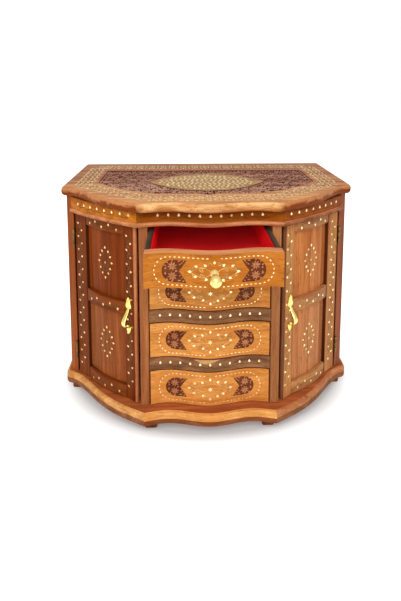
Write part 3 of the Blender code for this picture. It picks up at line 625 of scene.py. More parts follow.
def board(node, body, finish, slot):
    """Welded copy of a CAD board, smooth over its curves, that takes its place."""
    part = new_piece(node + "_timber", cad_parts[node].data.copy())
    edit(part)
    bpy.ops.mesh.customdata_custom_splitnormals_clear()
    bpy.ops.mesh.remove_doubles(threshold=HAIR)
    bpy.ops.mesh.dissolve_limited(angle_limit=math.radians(FACET_ANGLE))
    put_down()
    smooth(part, CRISP_ANGLE)
    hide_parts(node)
    return dress(part, body, finish)


def face_finish(part, finish, test):
    """Give the faces that pass the test a finish of their own."""
    part.data.materials.append(finish)
    pick(part, test, "FACE")
    part.active_material_index = len(part.data.materials) - 1
    bpy.ops.object.material_slot_assign()
    put_down()


# The top: how far the normal of its level face rises.
TOP_LEVEL = 0.98
TOP = board("top_board", "carcass", TOP_WOOD, "top_wood")
pick(TOP, lambda point: point.co.z > TOP_Z - HAIR)
bpy.ops.transform.translate(value=(0.0, 0.0, -SETTLE))
put_down()
face_finish(TOP, TOP_EDGE, lambda face: face.normal.z < TOP_LEVEL)

# The base: a dark band of painted shade runs along its foot under the moulding, lower between the front
# corners than beside them.
BASE_LEVEL = 0.97
FRONT_CORNER_X = 70.4 * MM
FRONT_BAND = 6.0 * MM
SIDE_BAND = 7.0 * MM
BASE = board("base_board", "carcass", BASE_WOOD, "base_wood")
BAND_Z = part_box("base_board")[0].z + FRONT_BAND
SIDE_BAND_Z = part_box("base_board")[0].z + SIDE_BAND
for height in (BAND_Z, SIDE_BAND_Z):
    edit(BASE)
    bpy.ops.mesh.bisect(plane_co=(0.0, 0.0, height), plane_no=Z_WAY)
    put_down()


def between_corners(face):
    """Whether a face lies between the front corners of the base."""
    return abs(face.center.x) < FRONT_CORNER_X


# The plinth's slanted ends take their lit and shaded copies of the edge wood: painted light.
for word, side in SIDES.items():
    face_finish(BASE, BASE_EDGE[word], lambda face: side * face.center.x > FRONT_CORNER_X)
face_finish(BASE, BASE_SIDE_SHADE_BAND, lambda face: face.center.z < SIDE_BAND_Z)
face_finish(BASE, BASE_WOOD, lambda face: face.center.z > BAND_Z and between_corners(face))
face_finish(BASE, BASE_SHADE_BAND, lambda face: face.center.z < BAND_Z and between_corners(face))
face_finish(BASE, BASE_FACE, lambda face: face.normal.z > BASE_LEVEL)

LIP = board("cornice_board", "carcass", LIP_WOOD, "body_wood")
# Right of the post the lip takes a darker copy of its wood: painted shade.
face_finish(LIP, LIP_SHADE, lambda face: face.center.x > POST_HALF)
FRIEZES = {}
for place, wood in FRIEZE_WOOD.items():
    FRIEZES[place] = board("frieze_" + place, "carcass", wood, "rail_wood")
RAILS = {n: board(f"rail_{n}", "carcass", RAIL_WOOD, "rail_wood") for n in (1, 2, 3)}

# Drawer fronts are planed back from their CAD boards, so that dark gaps show round them.
FRONT_LEVEL = 0.9
GAP_LEFT = 0.4 * MM
GAP_RIGHT = 0.8 * MM
GAP_BELOW = 0.5 * MM
GAP_ABOVE = 0.4 * MM
FRONTS = {}
for n in DRAWERS:
    wood = FRONT_WOOD if n > 1 else TOP_FRONT_WOOD
    FRONTS[n] = board(f"drawer_{n}_front", f"drawer_{n}", wood, "front_wood")
    low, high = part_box(f"drawer_{n}_front")
    for point in FRONTS[n].data.vertices:
        point.co.x = min(max(point.co.x, low.x + GAP_LEFT), high.x - GAP_RIGHT)
        point.co.z = min(max(point.co.z, low.z + GAP_BELOW), high.z - GAP_ABOVE)
    # The top faces of the lower drawers are painted dark: painted shadow under the rails.
    edge = SHADOWED_DRAWER_TOP if n > 1 else FRONT_EDGE
    face_finish(FRONTS[n], edge, lambda face: face.normal.z > FRONT_LEVEL)

# The knob's collar takes a paler, matt copy of its brass; the paler colour is a painted highlight on its
# rounded rim.
COLLAR_LONG = 6.5 * MM
KNOB = board("drawer_1_knob", "drawer_1", CAST_BRASS, "brass")
COLLAR_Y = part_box("drawer_1_knob")[1].y - COLLAR_LONG
face_finish(KNOB, COLLAR_HIGHLIGHT_BRASS, lambda face: face.center.y > COLLAR_Y)

# Doors: stile edges that look along the bay are painted near black as shade in the panel recesses, and
# the bead starts so far along it.
ALONG_BAY = 0.7
BEAD_START = 105.5 * MM
DOORS = {}
for word, side in SIDES.items():
    woods = {"hinge_stile": STILE_WOOD[word], "lock_stile": STILE_WOOD[word]}
    for height in ("top", "middle", "bottom"):
        woods[height + "_rail"] = DOOR_RAIL_WOOD[word]
    for height in HEIGHTS:
        woods[height + "_panel"] = PANEL_WOOD[height, word]
    for part, wood in woods.items():
        DOORS[word, part] = board(f"door_{word}_{part}", f"door_{word}", wood, "door_wood")
    corner = bay_corner(side)
    run = bay_run(side)
    hinge_stile, lock_stile = DOORS[word, "hinge_stile"], DOORS[word, "lock_stile"]
    face_finish(hinge_stile, RECESS_SHADE_WOOD, lambda face: face.normal.dot(run) > ALONG_BAY)
    face_finish(lock_stile, RECESS_SHADE_WOOD, lambda face: face.normal.dot(run) < -ALONG_BAY)
    face_finish(lock_stile, BEAD_WOOD[word], lambda face: (face.center - corner).dot(run) > BEAD_START)
    board(f"door_{word}_handle", f"door_{word}", CAST_BRASS, "brass")


# Shapes that are cut from sheet brass or carved many times over, 1 mm across.

def disc(corners):
    """Flat disc, to be shaped."""
    bpy.ops.mesh.primitive_circle_add(vertices=corners, radius=0.5 * MM, fill_type="NGON")
    return bpy.context.object


def draw_out(shape, test, reach):
    """Push the points that pass the test up by a reach in mm."""
    pick(shape, test)
    bpy.ops.transform.translate(value=(0.0, reach * MM, 0.0))
    put_down()


def leaf_shape():
    """Spade leaf with its tip up."""
    shape = disc(10)
    tip = 0.49 * MM
    draw_out(shape, lambda point: point.co.y > tip, reach=0.36)
    return shape


def dash_shape():
    """Short bar with clipped ends, lying level."""
    shape = disc(8)
    thin = 0.42
    edit(shape)
    bpy.ops.transform.resize(value=(1.0, thin, 1.0))
    put_down()
    return shape


def dot_shape():
    """Round pin with one flat, as it is snipped from wire."""
    shape = disc(8)
    foot = -0.45 * MM
    draw_out(shape, lambda point: point.co.y < foot, reach=0.1)
    return shape


def petal_shape():
    """Pointed petal that springs from the middle of its flower."""
    shape = disc(8)
    thin, long, tip = 0.36, 0.8, 0.9 * MM
    edit(shape)
    bpy.ops.transform.resize(value=(thin, long, 1.0))
    put_down()
    draw_out(shape, lambda point: True, reach=0.56)
    draw_out(shape, lambda point: point.co.y > tip, reach=0.1)
    return shape


SHAPES = {"leaf": leaf_shape(), "dash": dash_shape(), "dot": dot_shape(), "petal": petal_shape()}


def stamps(name, marks):
    """One flat piece with a copy of a shape at each mark: shape, x, y, turn and size in mm."""
    copies = []
    for shape, x, y, turn, size in marks:
        mesh = SHAPES[shape].data.copy()
        mesh.transform(
            Matrix.Translation((x * MM, y * MM, 0.0))
            @ Matrix.Rotation(turn, 4, "Z")
            @ Matrix.Scale(size, 4)
        )
        copies.append(new_piece(name, mesh))
    return joined(name, copies)


def shares(count):
    """Even steps from 0 to 1."""
    return [i / count for i in range(count + 1)]


def hand_of(number):
    """Right for an odd number and left for an even one."""
    return 1 if number % 2 else -1


def curl(x, y, radius, start, turns, steps=14):
    """Points of a tendril that winds into its middle."""
    wound = 0.8
    run = []
    for t in shares(steps):
        angle = start + turns * 2 * math.pi * t
        reach = radius * (1 - wound * t)
        run.append((x + reach * math.cos(angle), y + reach * math.sin(angle)))
    return run


def flower(x, y, size, petals, turn=0.0):
    """Marks of a flower of petals round one place."""
    return [("petal", x, y, turn + i * 2 * math.pi / petals, size) for i in range(petals)]


INLAY_PROUD = 0.12
INLAY_SUNK = 0.25
WIRE_PROUD = 0.06
WIRE_WIDE = 0.5


def inlay(name, body, parts, wire=WIRE_BRASS, leaf=INLAY_BRASS):
    """Brass leaves and wires of one body; each part is a board, its placing, marks and wire runs."""
    leaves = []
    lines = []
    for target, placing, marks, runs in parts:
        leaves.append(press(stamps(name + "_leaves", marks), target, placing, INLAY_PROUD, INLAY_SUNK))
        line = wires(name + "_wires", runs, WIRE_WIDE)
        lines.append(press(line, target, placing, WIRE_PROUD, INLAY_SUNK))
    dress(joined(name + "_brass_leaves", leaves), body, leaf)
    dress(joined(name + "_brass_wires", lines), body, wire)


# Drawer fronts: a dashed ring, a carved flower field at each end and brass leaves between.

RING_HALF = 54.5
RING_RADIUS = 15.1
RING_GAP = 5.0
DASH_PITCH = 4.2
RING_DASH = 2.1


def ring(half, radius, gap):
    """Dashes along a stadium, none within gap of its middle."""
    flat = half - radius
    bend = math.pi * radius
    whole = 4 * flat + 2 * bend
    count = round(whole / DASH_PITCH)

    def bent(middle, angle):
        """Place and turn on the bend at one end."""
        return middle + radius * math.cos(angle), radius * math.sin(angle), angle - math.pi / 2

    marks = []
    for i in range(count):
        s = whole * (i + 0.5) / count
        if s < flat:
            x, y, turn = s, radius, 0.0
        elif s < flat + bend:
            x, y, turn = bent(flat, math.pi / 2 - (s - flat) / radius)
        elif s < 3 * flat + bend:
            x, y, turn = 2 * flat + bend - s, -radius, 0.0
        elif s < 3 * flat + 2 * bend:
            x, y, turn = bent(-flat, -math.pi / 2 - (s - 3 * flat - bend) / radius)
        else:
            x, y, turn = s - whole, radius, 0.0
        if abs(x) > gap:
            marks.append(("dash", x, y, turn, RING_DASH))
    return marks


def end_field(side):
    """Outline of a carved end field: round outside, notched towards the middle."""
    half, outer, bulge, tip, clip = 10.6, 36.5, 11.0, 25.0, 0.3
    notch, cusp_x, cusp_y, ease = 32.0, 29.5, 3.6, 1.5
    steps = 14
    angles = [math.pi / 2 - math.pi * i / steps for i in range(steps + 1)]
    bow = [(outer + bulge * math.cos(a), half * math.sin(a)) for a in angles]
    inner = [(tip + ease, -half), (tip, -half + clip), (cusp_x, -cusp_y)]
    inner += [(notch, 0.0), (cusp_x, cusp_y), (tip, half - clip)]
    return [(side * x, y) for x, y in bow + inner]


# Right end field: heights of its two flowers, then its buds as shape, x, y, turn and size in mm.
FLOWER_X = 38.0
FLOWER_HEIGHTS = ((4.5, 1), (-4.9, -1))
FIELD_BUDS = (
    ("petal", 32.2, 5.2, 0.9, 2.6),
    ("petal", 30.6, 7.0, 1.2, 2.4),
    ("leaf", 27.9, 9.3, 1.0, 1.4),
    ("leaf", 44.2, 2.2, 0.0, 1.7),
    ("leaf", 42.6, 8.0, -0.8, 1.6),
    ("petal", 43.0, 4.0, -1.0, 3.0),
    ("petal", 33.6, 9.2, 1.4, 3.4),
    ("leaf", FLOWER_X, 9.6, 0.0, 1.5),
)
NOTCH_BUD = ("leaf", 34.6, 0.0, 1.57, 1.8)


def field_relief(side):
    """Two flowers, a bud in each tip and small leaves round the outside of an end field."""
    marks = []
    for y, up in FLOWER_HEIGHTS:
        marks += flower(side * FLOWER_X, y, size=4.2, petals=8, turn=0.2)
        marks.append(("dot", side * FLOWER_X, y, 0.0, 1.3))
        for shape, bud_x, bud_y, turn, size in FIELD_BUDS:
            marks.append((shape, side * bud_x, up * bud_y, side * turn, size))
    shape, bud_x, bud_y, turn, size = NOTCH_BUD
    marks.append((shape, side * bud_x, bud_y, side * turn, size))
    return marks


# Leaves and stems between the fields, in mm. A front below the full height squeezes its drawing.
FULL_HEIGHT = 38.5 * MM
DRAWER_LEAF = 2.4
LEAF_PLACES = ((-22.0, 0.4), (-16.2, 6.2), (-8.2, 7.6), (8.2, 7.9), (16.4, 6.6), (21.6, 0.2),
               (-17.0, -4.6), (-7.4, -7.0), (7.8, -7.8), (14.0, -5.8), (0.0, 11.0), (0.0, -11.1))
STEM_START = 2
STEM_LONG = 20
STEM_RISE = 6.4
STEM_DROOP = 0.4


def drawer_drawing(number):
    """Brass of a drawer front: ring, leaves, a flower where there is no knob, stems and curls."""
    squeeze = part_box(f"drawer_{number}_front")[1].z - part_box(f"drawer_{number}_front")[0].z
    squeeze = min(1.0, squeeze / FULL_HEIGHT)
    marks = ring(RING_HALF, RING_RADIUS * squeeze, RING_GAP)
    for x, y in LEAF_PLACES:
        turn = math.atan2(-x, y) if x else 0.0
        marks.append(("leaf", x, y * squeeze, turn, DRAWER_LEAF))
    if number > 1:
        marks += flower(0.0, 0.0, size=2.5, petals=6)
        marks.append(("dot", 0.0, 0.0, 0.0, 2.4))
    runs = []
    for sx, sy in QUARTERS:
        stem = []
        for t in shares(16):
            y = squeeze * sy * STEM_RISE * math.sin(math.pi * t) * (1 - STEM_DROOP * t)
            stem.append((sx * (STEM_START + STEM_LONG * t), y))
        runs.append(stem)
        runs.append(curl(sx * 11.5, sy * 3.2 * squeeze, radius=2.4, start=sx * sy * 0.6, turns=1.3 * sx))
        runs.append(curl(sx * 4.2, sy * 9.2 * squeeze, radius=1.9, start=sx * sy * 2.0, turns=-1.3 * sx))
        runs.append(curl(sx * 19.0, sy * 3.0 * squeeze, radius=1.7, start=1.0, turns=1.2 * sy))
    return marks, runs


# Flat pieces are sliced every so many mm, to follow the serpentine front.
SLICE = 2.0
for number, front in FRONTS.items():
    body = f"drawer_{number}"
    placing = on_front(f"drawer_{number}_front")
    inlay(body, body, [(front, placing, *drawer_drawing(number))])
    flowers = stamps(body + "_flowers", field_relief(-1) + field_relief(1))
    flowers = press(flowers, front, placing, proud=-0.05, sunk=0.75)
    dress(flowers, body, FLOWER_WOOD)
    pocket = cut_out("pocket", end_field(-1), end_field(1))
    slice_up(pocket, SLICE)
    pocket.data.materials.append(FLOWER_GROUND)
    carve(front, press(pocket, front, placing, proud=1.0, sunk=0.7))
    smooth(front, CARVED_CRISP_ANGLE)


# Rails and friezes: a row of leaves over a festoon of wire.

FESTOON_DROP = 1.6
FESTOON_SAG = 6.0


def row(count, pitch, height, size):
    """Leaves in a level row, with a wire that hangs from leaf to leaf."""
    start = -(count - 1) * pitch / 2
    places = [start + i * pitch for i in range(count)]
    marks = [("leaf", x, height, 0.0, size) for x in places]
    hang = [(pitch * t, height - FESTOON_DROP - FESTOON_SAG * t * (1 - t)) for t in shares(8)]
    runs = [[(x + along, y) for along, y in hang] for x in places[:-1]]
    return marks, runs


RAIL_ROW = row(count=11, pitch=10.65, height=0.9, size=2.4)
rail_parts = [(RAILS[n], on_front(f"rail_{n}"), *RAIL_ROW) for n in RAILS]
inlay("rails", "carcass", rail_parts, DARK_WIRE)

# Pale lens at the upper edge of the third rail.
PATCH_START = -17.6
PATCH_LONG = 27.5
PATCH_DEEP = 4.0
PATCH_BELOW = 0.5
rail_top = (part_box("rail_3")[1].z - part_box("rail_3")[0].z) / 2 / MM - PATCH_BELOW
steps = shares(16)
lens = [(PATCH_START + PATCH_LONG * t, rail_top) for t in steps]
for t in steps[-2:0:-1]:
    lens.append((PATCH_START + PATCH_LONG * t, rail_top - PATCH_DEEP * math.sin(math.pi * t)))
patch = cut_out("rail_3_pale_patch", lens)
slice_up(patch, SLICE)
patch = press(patch, RAILS[3], on_front("rail_3"), proud=0.08, sunk=0.4)
dress(patch, "carcass", PALE_PATCH)

FRIEZE_HEIGHT = sum(corner.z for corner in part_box("frieze_front")) / 2 / MM
FRIEZE_MIDDLE = 65.5
FRIEZE_ROW = row(count=11, pitch=10.9, height=0.6, size=2.5)
SIDE_FRIEZE_ROW = row(count=8, pitch=11.1, height=0.6, size=2.5)
frieze_parts = [(FRIEZES["front"], on_front("frieze_front"), *FRIEZE_ROW)]
for word, side in SIDES.items():
    frieze_parts.append((FRIEZES[word], on_bay(side, FRIEZE_MIDDLE, FRIEZE_HEIGHT), *SIDE_FRIEZE_ROW))
inlay("frieze", "carcass", frieze_parts, DARK_WIRE)


# Doors: a vine up each stile, a zig-zag on each rail and a diamond on each panel.

def vine(low, high, pitch, swing, size):
    """Leaves that step from side to side up a stile, with two wires that wind between them."""
    count = round((high - low) / pitch)
    step = (high - low) / count
    tilt, winding, curl_out, past_end = 1.1, 0.62, 0.95, 2
    fineness = count * 6
    marks = []
    for i in range(count + 1):
        side = hand_of(i)
        marks.append(("leaf", side * swing, low + i * step, -side * tilt, size))
    runs = []
    points = [low - past_end + (high - low + 2 * past_end) * i / fineness for i in range(fineness + 1)]
    for phase in (1, -1):
        runs.append([(phase * winding * swing * math.cos(math.pi * (y - low) / step), y) for y in points])
    for i in range(count):
        side = hand_of(i)
        x, y = side * curl_out * swing, low + (i + 0.5) * step
        runs.append(curl(x, y, radius=1.15, start=math.pi / 2, turns=side * 1.2, steps=9))
    return marks, runs


def zigzag(flip):
    """Five leaves that step up and down along a rail, with a wire that winds between them."""
    pitch, swing, winding, size = 10.4, 1.8, 1.5, 2.35
    half_run, stride = 24, 0.8
    marks = []
    for i in range(5):
        turn = 0.0 if i % 2 else math.pi
        marks.append(("leaf", flip * (i - 2) * pitch, hand_of(i) * swing, turn, size))
    along = [-half_run + stride * i for i in range(round(2 * half_run / stride) + 1)]
    runs = [[(x, phase * winding * math.cos(math.pi * x / pitch)) for x in along] for phase in (1, -1)]
    return marks, runs


DIAMOND_TIP = 17.0
DIAMOND_LEAVES = ((4.6, 12.6), (7.6, 7.0), (9.6, 0.6), (7.4, -6.4), (4.4, -12.0))
DIAMOND_SKEW = 0.4


def diamond(flip):
    """Twelve leaves round a diamond of scrolls, with a small flower in its middle."""
    half_width, half_height, bulge = 10.6, 19.0, 1.3
    marks = [("leaf", 0.0, DIAMOND_TIP, 0.0, 2.4), ("leaf", 0.0, -DIAMOND_TIP, math.pi, 2.4)]
    for x, y in DIAMOND_LEAVES:
        for side in (-1, 1):
            turn = math.atan2(-flip * side * x, y)
            marks.append(("leaf", flip * side * x, y + side * DIAMOND_SKEW, turn, 2.3))
    marks += flower(0.0, 0.0, size=1.5, petals=5)
    runs = []
    for sx, sy in QUARTERS:
        upright, hand = math.pi / 2 * sy, sx * sy
        runs.append(curl(sx * 3.6, sy * 3.2, radius=2.9, start=upright, turns=1.35 * hand))
        runs.append(curl(sx * 2.4, sy * 9.2, radius=2.0, start=upright, turns=-1.3 * hand))
        bow = [(half_width * t, half_height - half_height * t ** bulge) for t in shares(14)]
        runs.append([(sx * x, sy * y) for x, y in bow])
        runs.append(curl(sx * 6.9, sy * 10.8, radius=1.5, start=0.4, turns=1.2 * hand, steps=9))
    return marks, runs


# Places of the drawings on a door, in mm along the bay and up from the floor.
HINGE_BAND = 22.1
LOCK_BAND = {"left": 98.9, "right": 100.2}
PANEL_MIDDLE = 62.4
STILE_LOW = 43.0
STILE_HIGH = 213.0
for word, side in SIDES.items():
    name = "door_" + word
    parts = []
    for stile, along in (("hinge_stile", HINGE_BAND), ("lock_stile", LOCK_BAND[word])):
        drawing = vine(STILE_LOW, STILE_HIGH, pitch=7.7, swing=2.7, size=2.3)
        parts.append((DOORS[word, stile], on_bay(side, along, 0.0), *drawing))
    for part in ("top_rail", "middle_rail", "bottom_rail", "upper_panel", "lower_panel"):
        height = sum(corner.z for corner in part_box(f"{name}_{part}")) / 2 / MM
        drawing = diamond(-side) if "panel" in part else zigzag(-side)
        parts.append((DOORS[word, part], on_bay(side, PANEL_MIDDLE, height), *drawing))
    inlay(name, name, parts, DOOR_WIRE[word], DOOR_LEAF[word])


# Top: a carved field of scrolls round a medallion of brass, with a vine border.
# Its drawings are in mm from the middle of the back edge.

def half_turned(half):
    """Whole outline from its right half, listed from the front to the back."""
    on_middle = 1e-6
    return half + [(-x, y) for x, y in reversed(half) if x > on_middle]


def field_outline(grow=0.0):
    """Carved field: straight back, curved front corners and a small lobe at the front."""
    half_width, half_depth, middle, back = 130.0, 67.0, -122.0, -55.0
    front, crown, side = (58.0, -183.0), (101.3, -164.5), (half_width, -127.0)
    lobe_half, lobe_y, lobe_deep = 14.0, -184.0, 2.75
    steps = shares(12)
    half = [(lobe_half * t, lobe_y - lobe_deep * (1 + math.cos(math.pi * t))) for t in steps[::3]]
    for t in steps:
        spot = [(1 - t) ** 2 * a + 2 * t * (1 - t) * b + t * t * c for a, b, c in zip(front, crown, side)]
        half.append(tuple(spot))
    half += [(half_width, back), (0.0, back)]
    wider, deeper = 1 + grow / half_width, 1 + grow / half_depth
    return half_turned([(x * wider, middle + (y - middle) * deeper) for x, y in half])


def medallion(scale=1.0):
    """Almond with pointed ends and scalloped sides."""
    half_width, half_depth, middle = 70.0, 47.5, -125.0
    fullness, scallops, scallop_deep = 2.2, 3, 0.05
    bow = []
    for s in shares(24):
        scallop = 1 - scallop_deep * abs(math.sin(scallops * math.pi * s))
        bow.append((half_width * s, half_depth * (1 - s ** fullness) * scallop))
    half = [(x, -y) for x, y in bow] + [(x, y) for x, y in bow[-2::-1]]
    return half_turned([(scale * x, middle + scale * y) for x, y in half])


def inside(x, y, outline):
    """Whether a place lies inside a closed outline."""
    hit = False
    for (xa, ya), (xb, yb) in zip(outline, outline[1:] + outline[:1]):
        if (ya > y) != (yb > y) and x < xa + (y - ya) / (yb - ya) * (xb - xa):
            hit = not hit
    return hit


def spaced(path, pitch):
    """Places every pitch mm along a closed path, each with the way it runs there."""
    spots = []
    left = 0.0
    for (xa, ya), (xb, yb) in zip(path, path[1:] + path[:1]):
        length = math.hypot(xb - xa, yb - ya)
        while left < length:
            t = left / length
            spots.append((xa + (xb - xa) * t, ya + (yb - ya) * t, math.atan2(yb - ya, xb - xa)))
            left += pitch
        left -= length
    return spots


def lattice(width, depth, x_pitch, y_pitch):
    """Staggered places over a width and depth, counted row by row."""
    rows = int(depth / y_pitch) + 1
    columns = int(width / x_pitch) + 1
    for r in range(rows):
        for c in range(columns):
            yield r, c, -width / 2 + (c + 0.5 * (r % 2)) * x_pitch, -r * y_pitch


def carved(face, depths, field, hole):
    """Whether a face of the top lies in a field but not in its hole, between two depths in mm."""
    low, high = depths
    if not -high * MM < face.center.z - TOP_Z < -low * MM or face.normal.z < -UPWARDS:
        return False
    spots = [TOP.data.vertices[i].co for i in face.vertices]
    spots = [(spot.x / MM, (spot.y - BACK_EDGE_Y) / MM) for spot in spots]
    return all(inside(x, y, field) and not inside(x, y, hole) for x, y in spots)


# In mm: the main scrolls and the medallion stand at the settled face, and the ground lies deeper.
FACE_DEPTHS = (0.2, 0.31)
GROUND_DEPTHS = (0.31, 1.3)
for wood, depths, field, hole in (
    (CARVED_GROUND, GROUND_DEPTHS, field_outline(0.4), medallion(0.99)),
    (CARVED_SCROLL, FACE_DEPTHS, field_outline(-0.6), medallion(1.01)),
    (MEDALLION_WOOD, FACE_DEPTHS, medallion(1.01), []),
):
    face_finish(TOP, wood, lambda face: carved(face, depths, field, hole))


def tendrils():
    """Carved scrolls with two buds each, and a row of buds along both edges of the field."""
    back, row_turn, column_turn, first_bud, next_bud = 58.0, 1.7, 2.3, 0.5, 2.4
    bud_reach, bud_tilt, bud_size, bud_pitch = 3.6, 0.9, 1.8, 4.2
    field, hole = field_outline(-3.2), medallion(1.06)
    scrolls = []
    buds = []
    for r, c, x, y in lattice(width=256.0, depth=140.0, x_pitch=7.4, y_pitch=6.4):
        y -= back
        if not inside(x, y, field) or inside(x, y, hole):
            continue
        hand = hand_of(r + c)
        start = (r * row_turn + c * column_turn) % (2 * math.pi)
        scrolls.append(curl(x, y, radius=3.3, start=start, turns=1.3 * hand, steps=12))
        for i in range(2):
            angle = start + hand * (first_bud + i * next_bud)
            bud_x, bud_y = x + bud_reach * math.cos(angle), y + bud_reach * math.sin(angle)
            buds.append(("leaf", bud_x, bud_y, angle - bud_tilt, bud_size))
    for x, y, turn in spaced(field_outline(-1.5), bud_pitch):
        buds.append(("leaf", x, y, turn, bud_size))
    for x, y, turn in spaced(medallion(1.03), bud_pitch):
        buds.append(("leaf", x, y, turn + math.pi, bud_size))
    return scrolls, buds


# Depths in mm: the relief is rooted below the ground, and its buds stand higher than its scrolls.
RELIEF_FOOT = 1.4
scrolls, buds = tendrils()
relief = [
    rise(wires("scrolls", scrolls, width=0.8), RELIEF_FOOT, 0.85),
    rise(stamps("buds", buds), RELIEF_FOOT, 0.8),
]
dress(joined("top_carved_tendrils", relief), "carcass", CARVED_SCROLL)


def scatter(number, reach):
    """Small uneven shift of a mark that was set by eye, the same in each run."""
    return reach * math.sin(12.9 * number), reach * math.sin(7.7 * number + 2.0)


def medallion_drawing():
    """Drops of brass over the medallion, with a tendril beside every third."""
    back, size, uneven, hang, tilt, aside = 79.0, 7.4, 0.9, 0.6, 0.6, 2.9
    almond = medallion(0.86)
    marks = []
    runs = []
    for r, c, x, y in lattice(width=136.0, depth=92.0, x_pitch=5.8, y_pitch=8.2):
        number = 31 * r + c
        dx, dy = scatter(number, 0.8)
        x, y = x + dx, y + dy - back
        if not inside(x, y, almond):
            continue
        length = size + uneven * math.sin(3.1 * number)
        marks.append(("petal", x, y - hang * length, tilt * dx, length))
        if c % 3 == r % 3:
            runs.append(curl(x + aside, y, radius=2.2, start=number, turns=1.3 * hand_of(r), steps=9))
    return marks, runs


# Right half of the border, then its lanes: distance from the middle, shape and size, in mm. The lanes
# change sides at each step.
VINE_PATH = [
    (0.0, -206.0), (66.0, -204.0), (108.0, -172.0), (146.0, -140.0), (146.0, -31.0), (0.0, -31.0)
]
VINE_LANES = ((8.2, "leaf", 2.9), (-3.2, "leaf", 2.5), (2.6, "dot", 1.8), (-7.8, "dot", 1.9))


def border_drawing():
    """Vine border round the top: leaves and dots in lanes, with a curl on either side."""
    near, far = 3.0, 6.6
    marks = []
    runs = []
    for i, (x, y, turn) in enumerate(spaced(half_turned(VINE_PATH), pitch=4.0)):
        nx, ny = -math.sin(turn), math.cos(turn)
        hand = hand_of(i)
        for lane, (offset, shape, size) in enumerate(VINE_LANES):
            dx, dy = scatter(5 * i + lane, 0.9)
            offset *= hand
            mark_x, mark_y = x + offset * nx + dx, y + offset * ny + dy
            marks.append((shape, mark_x, mark_y, dx + math.pi * (i % 2), size))
        curl_x, curl_y = x + near * hand * nx, y + near * hand * ny
        runs.append(curl(curl_x, curl_y, radius=2.4, start=turn + i, turns=1.2 * hand, steps=9))
        curl_x, curl_y = x - far * hand * nx, y - far * hand * ny
        runs.append(curl(curl_x, curl_y, radius=1.7, start=turn - i, turns=-1.2 * hand, steps=8))
    return marks, runs


FIELD_DASH = 2.0
marks, runs = medallion_drawing()
marks += [("dash", x, y, turn, FIELD_DASH) for x, y, turn in spaced(field_outline(5.0), DASH_PITCH)]
border_marks, border_runs = border_drawing()
inlay("top", "carcass", [(TOP, on_top(), marks + border_marks, runs + border_runs)], OLIVE_WIRE)


# Velvet trays: cloth glued over the floor and walls of each drawer.

TRAY_CUTS = 15
TRAY_ROUND = 1.6 * MM
TRAY_CORNER_ANGLE = 60
VELVET_THICK = 1.0 * MM


def velvet_tray(number):
    """Open tray in the place of a drawer's lining, wavy along the drawer front."""
    low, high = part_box(f"drawer_{number}_lining")
    size = high - low
    bpy.ops.mesh.primitive_cube_add(size=1.0, location=(low + high) / 2, scale=size)
    tray = bpy.context.object
    tray.name = f"drawer_{number}_velvet"
    only(tray)
    bpy.ops.object.transform_apply()
    pick(tray, lambda face: face.normal.z > UPWARDS, "FACE")
    bpy.ops.mesh.delete(type="FACE")
    bpy.ops.mesh.select_all(action="SELECT")
    bpy.ops.mesh.subdivide(number_cuts=TRAY_CUTS)
    put_down()
    for point in tray.data.vertices:
        if point.co.y < low.y + HAIR:
            point.co.y = low.y + WAVE_DEPTH * (1 - math.cos(2 * math.pi * point.co.x / WAVE_LENGTH))
    round_off = tray.modifiers.new("round", "BEVEL")
    round_off.width = TRAY_ROUND
    round_off.segments = 2
    round_off.angle_limit = math.radians(TRAY_CORNER_ANGLE)
    pile = tray.modifiers.new("pile", "SOLIDIFY")
    pile.thickness = VELVET_THICK
    pile.offset = -1.0
    apply_all(tray)
    smooth(tray, TRAY_CRISP_ANGLE)
    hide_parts(f"drawer_{number}_lining")
    dress(tray, f"drawer_{number}", VELVET)


for number in DRAWERS:
    velvet_tray(number)


# Camera, fitted to the photograph's view: its place in metres, its angles in degrees.

EYE = (-0.02566, -0.53418, 0.37864)
YAW = 1.855
PITCH = 6.551
camera = new_piece("camera", bpy.data.cameras.new("camera"))
camera.location = EYE
camera.rotation_euler = (math.pi / 2 - math.radians(PITCH), 0.0, -math.radians(YAW))
camera.data.sensor_width = 36.0
camera.data.lens = 28.36
camera.data.shift_y = -0.28
bpy.context.scene.camera = camera


# Floor: white paper that glows for the camera and for gloss, less within an oval under the cabinet: the
# dimmer oval is painted shadow, added to the shadow that the lamp and sky cast.

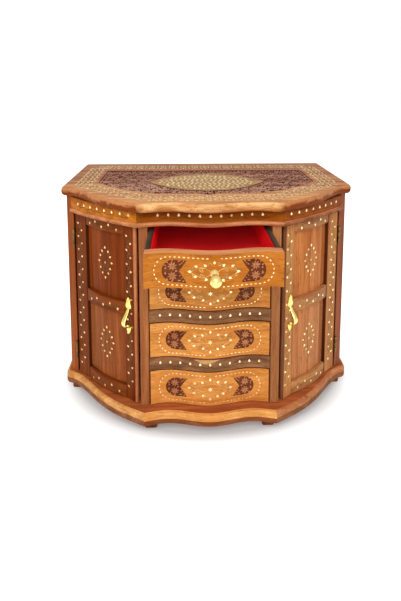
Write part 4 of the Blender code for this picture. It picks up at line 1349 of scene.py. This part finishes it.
WHITE = (1.0, 1.0, 1.0, 1.0)
FLOOR_SIZE = 12.0
PAPER = {"Base Color": colour("#f0f0ef"), "Roughness": 0.9, "Specular IOR Level": 0.1}
OVAL_MIDDLE = (0.0, 0.04, 0.0)
OVAL_REACH = (0.185, 0.125, 1.0)
OVAL_PAINTED_SHADOW = {FROM_LOW: 0.86, FROM_HIGH: 1.0, TO_LOW: 0.08, TO_HIGH: 0.66}
OVAL_GLOW = {FROM_LOW: 1.0, FROM_HIGH: 1.35, TO_LOW: 0.0, TO_HIGH: 0.42}
bpy.ops.mesh.primitive_plane_add(size=FLOOR_SIZE)
floor = bpy.context.object
floor.name = "floor"
paper, tree, shader, here = new_finish("white paper sweep")
oval = {"Vector": here, "Location": OVAL_MIDDLE, "Scale": OVAL_REACH}
spread = add(tree, "Mapping", oval, vector_type="TEXTURE")
reach = add(tree, "VectorMath", {0: spread.outputs[0]}, operation="LENGTH").outputs["Value"]
shade = add(tree, "MapRange", {VALUE: reach, **OVAL_PAINTED_SHADOW})
glow = add(tree, "MapRange", {VALUE: reach, **OVAL_GLOW})
glow = add(tree, "Math", {0: shade.outputs[0], 1: glow.outputs[0]}, operation="ADD")
path = add(tree, "LightPath")
rays = {0: path.outputs["Is Camera Ray"], 1: path.outputs["Is Glossy Ray"]}
seen = add(tree, "Math", rays, operation="MAXIMUM")
glow = add(tree, "Math", {0: glow.outputs[0], 1: seen.outputs[0]}, operation="MULTIPLY")
feed(tree, shader, {"Emission Color": WHITE, "Emission Strength": glow.outputs[0], **PAPER})
floor.data.materials.append(paper)


# Light: an even sky, white to the camera and paler in gloss than on wood, and one square lamp.

SKY_LIGHT = 0.38
SKY_GLOSS = 0.5
LAMP_PLACE = Vector((-0.15, -1.42, 1.06))
LAMP_AIM = Vector((0.0, 0.0, 0.12))
world = bpy.data.worlds.new("studio")
bpy.context.scene.world = world
world.use_nodes = True
sky = world.node_tree
path = add(sky, "LightPath")
gloss = {0: path.outputs["Is Glossy Ray"], 1: SKY_GLOSS, 2: SKY_LIGHT}
mirrored = add(sky, "Math", gloss, operation="MULTIPLY_ADD")
level = add(sky, "Math", {0: path.outputs["Is Camera Ray"], 1: mirrored.outputs[0]}, operation="MAXIMUM")
feed(sky, sky.nodes["Background"], {"Color": WHITE, "Strength": level.outputs[0]})
lamp = new_piece("key", bpy.data.lights.new("key", "AREA"))
lamp.data.size = 1.2
lamp.data.energy = 20.8
lamp.location = LAMP_PLACE
lamp.rotation_euler = (LAMP_AIM - LAMP_PLACE).to_track_quat("-Z", "Y").to_euler()

bpy.context.scene.view_settings.view_transform = "Standard"
for shape in SHAPES.values():
    bpy.data.objects.remove(shape)
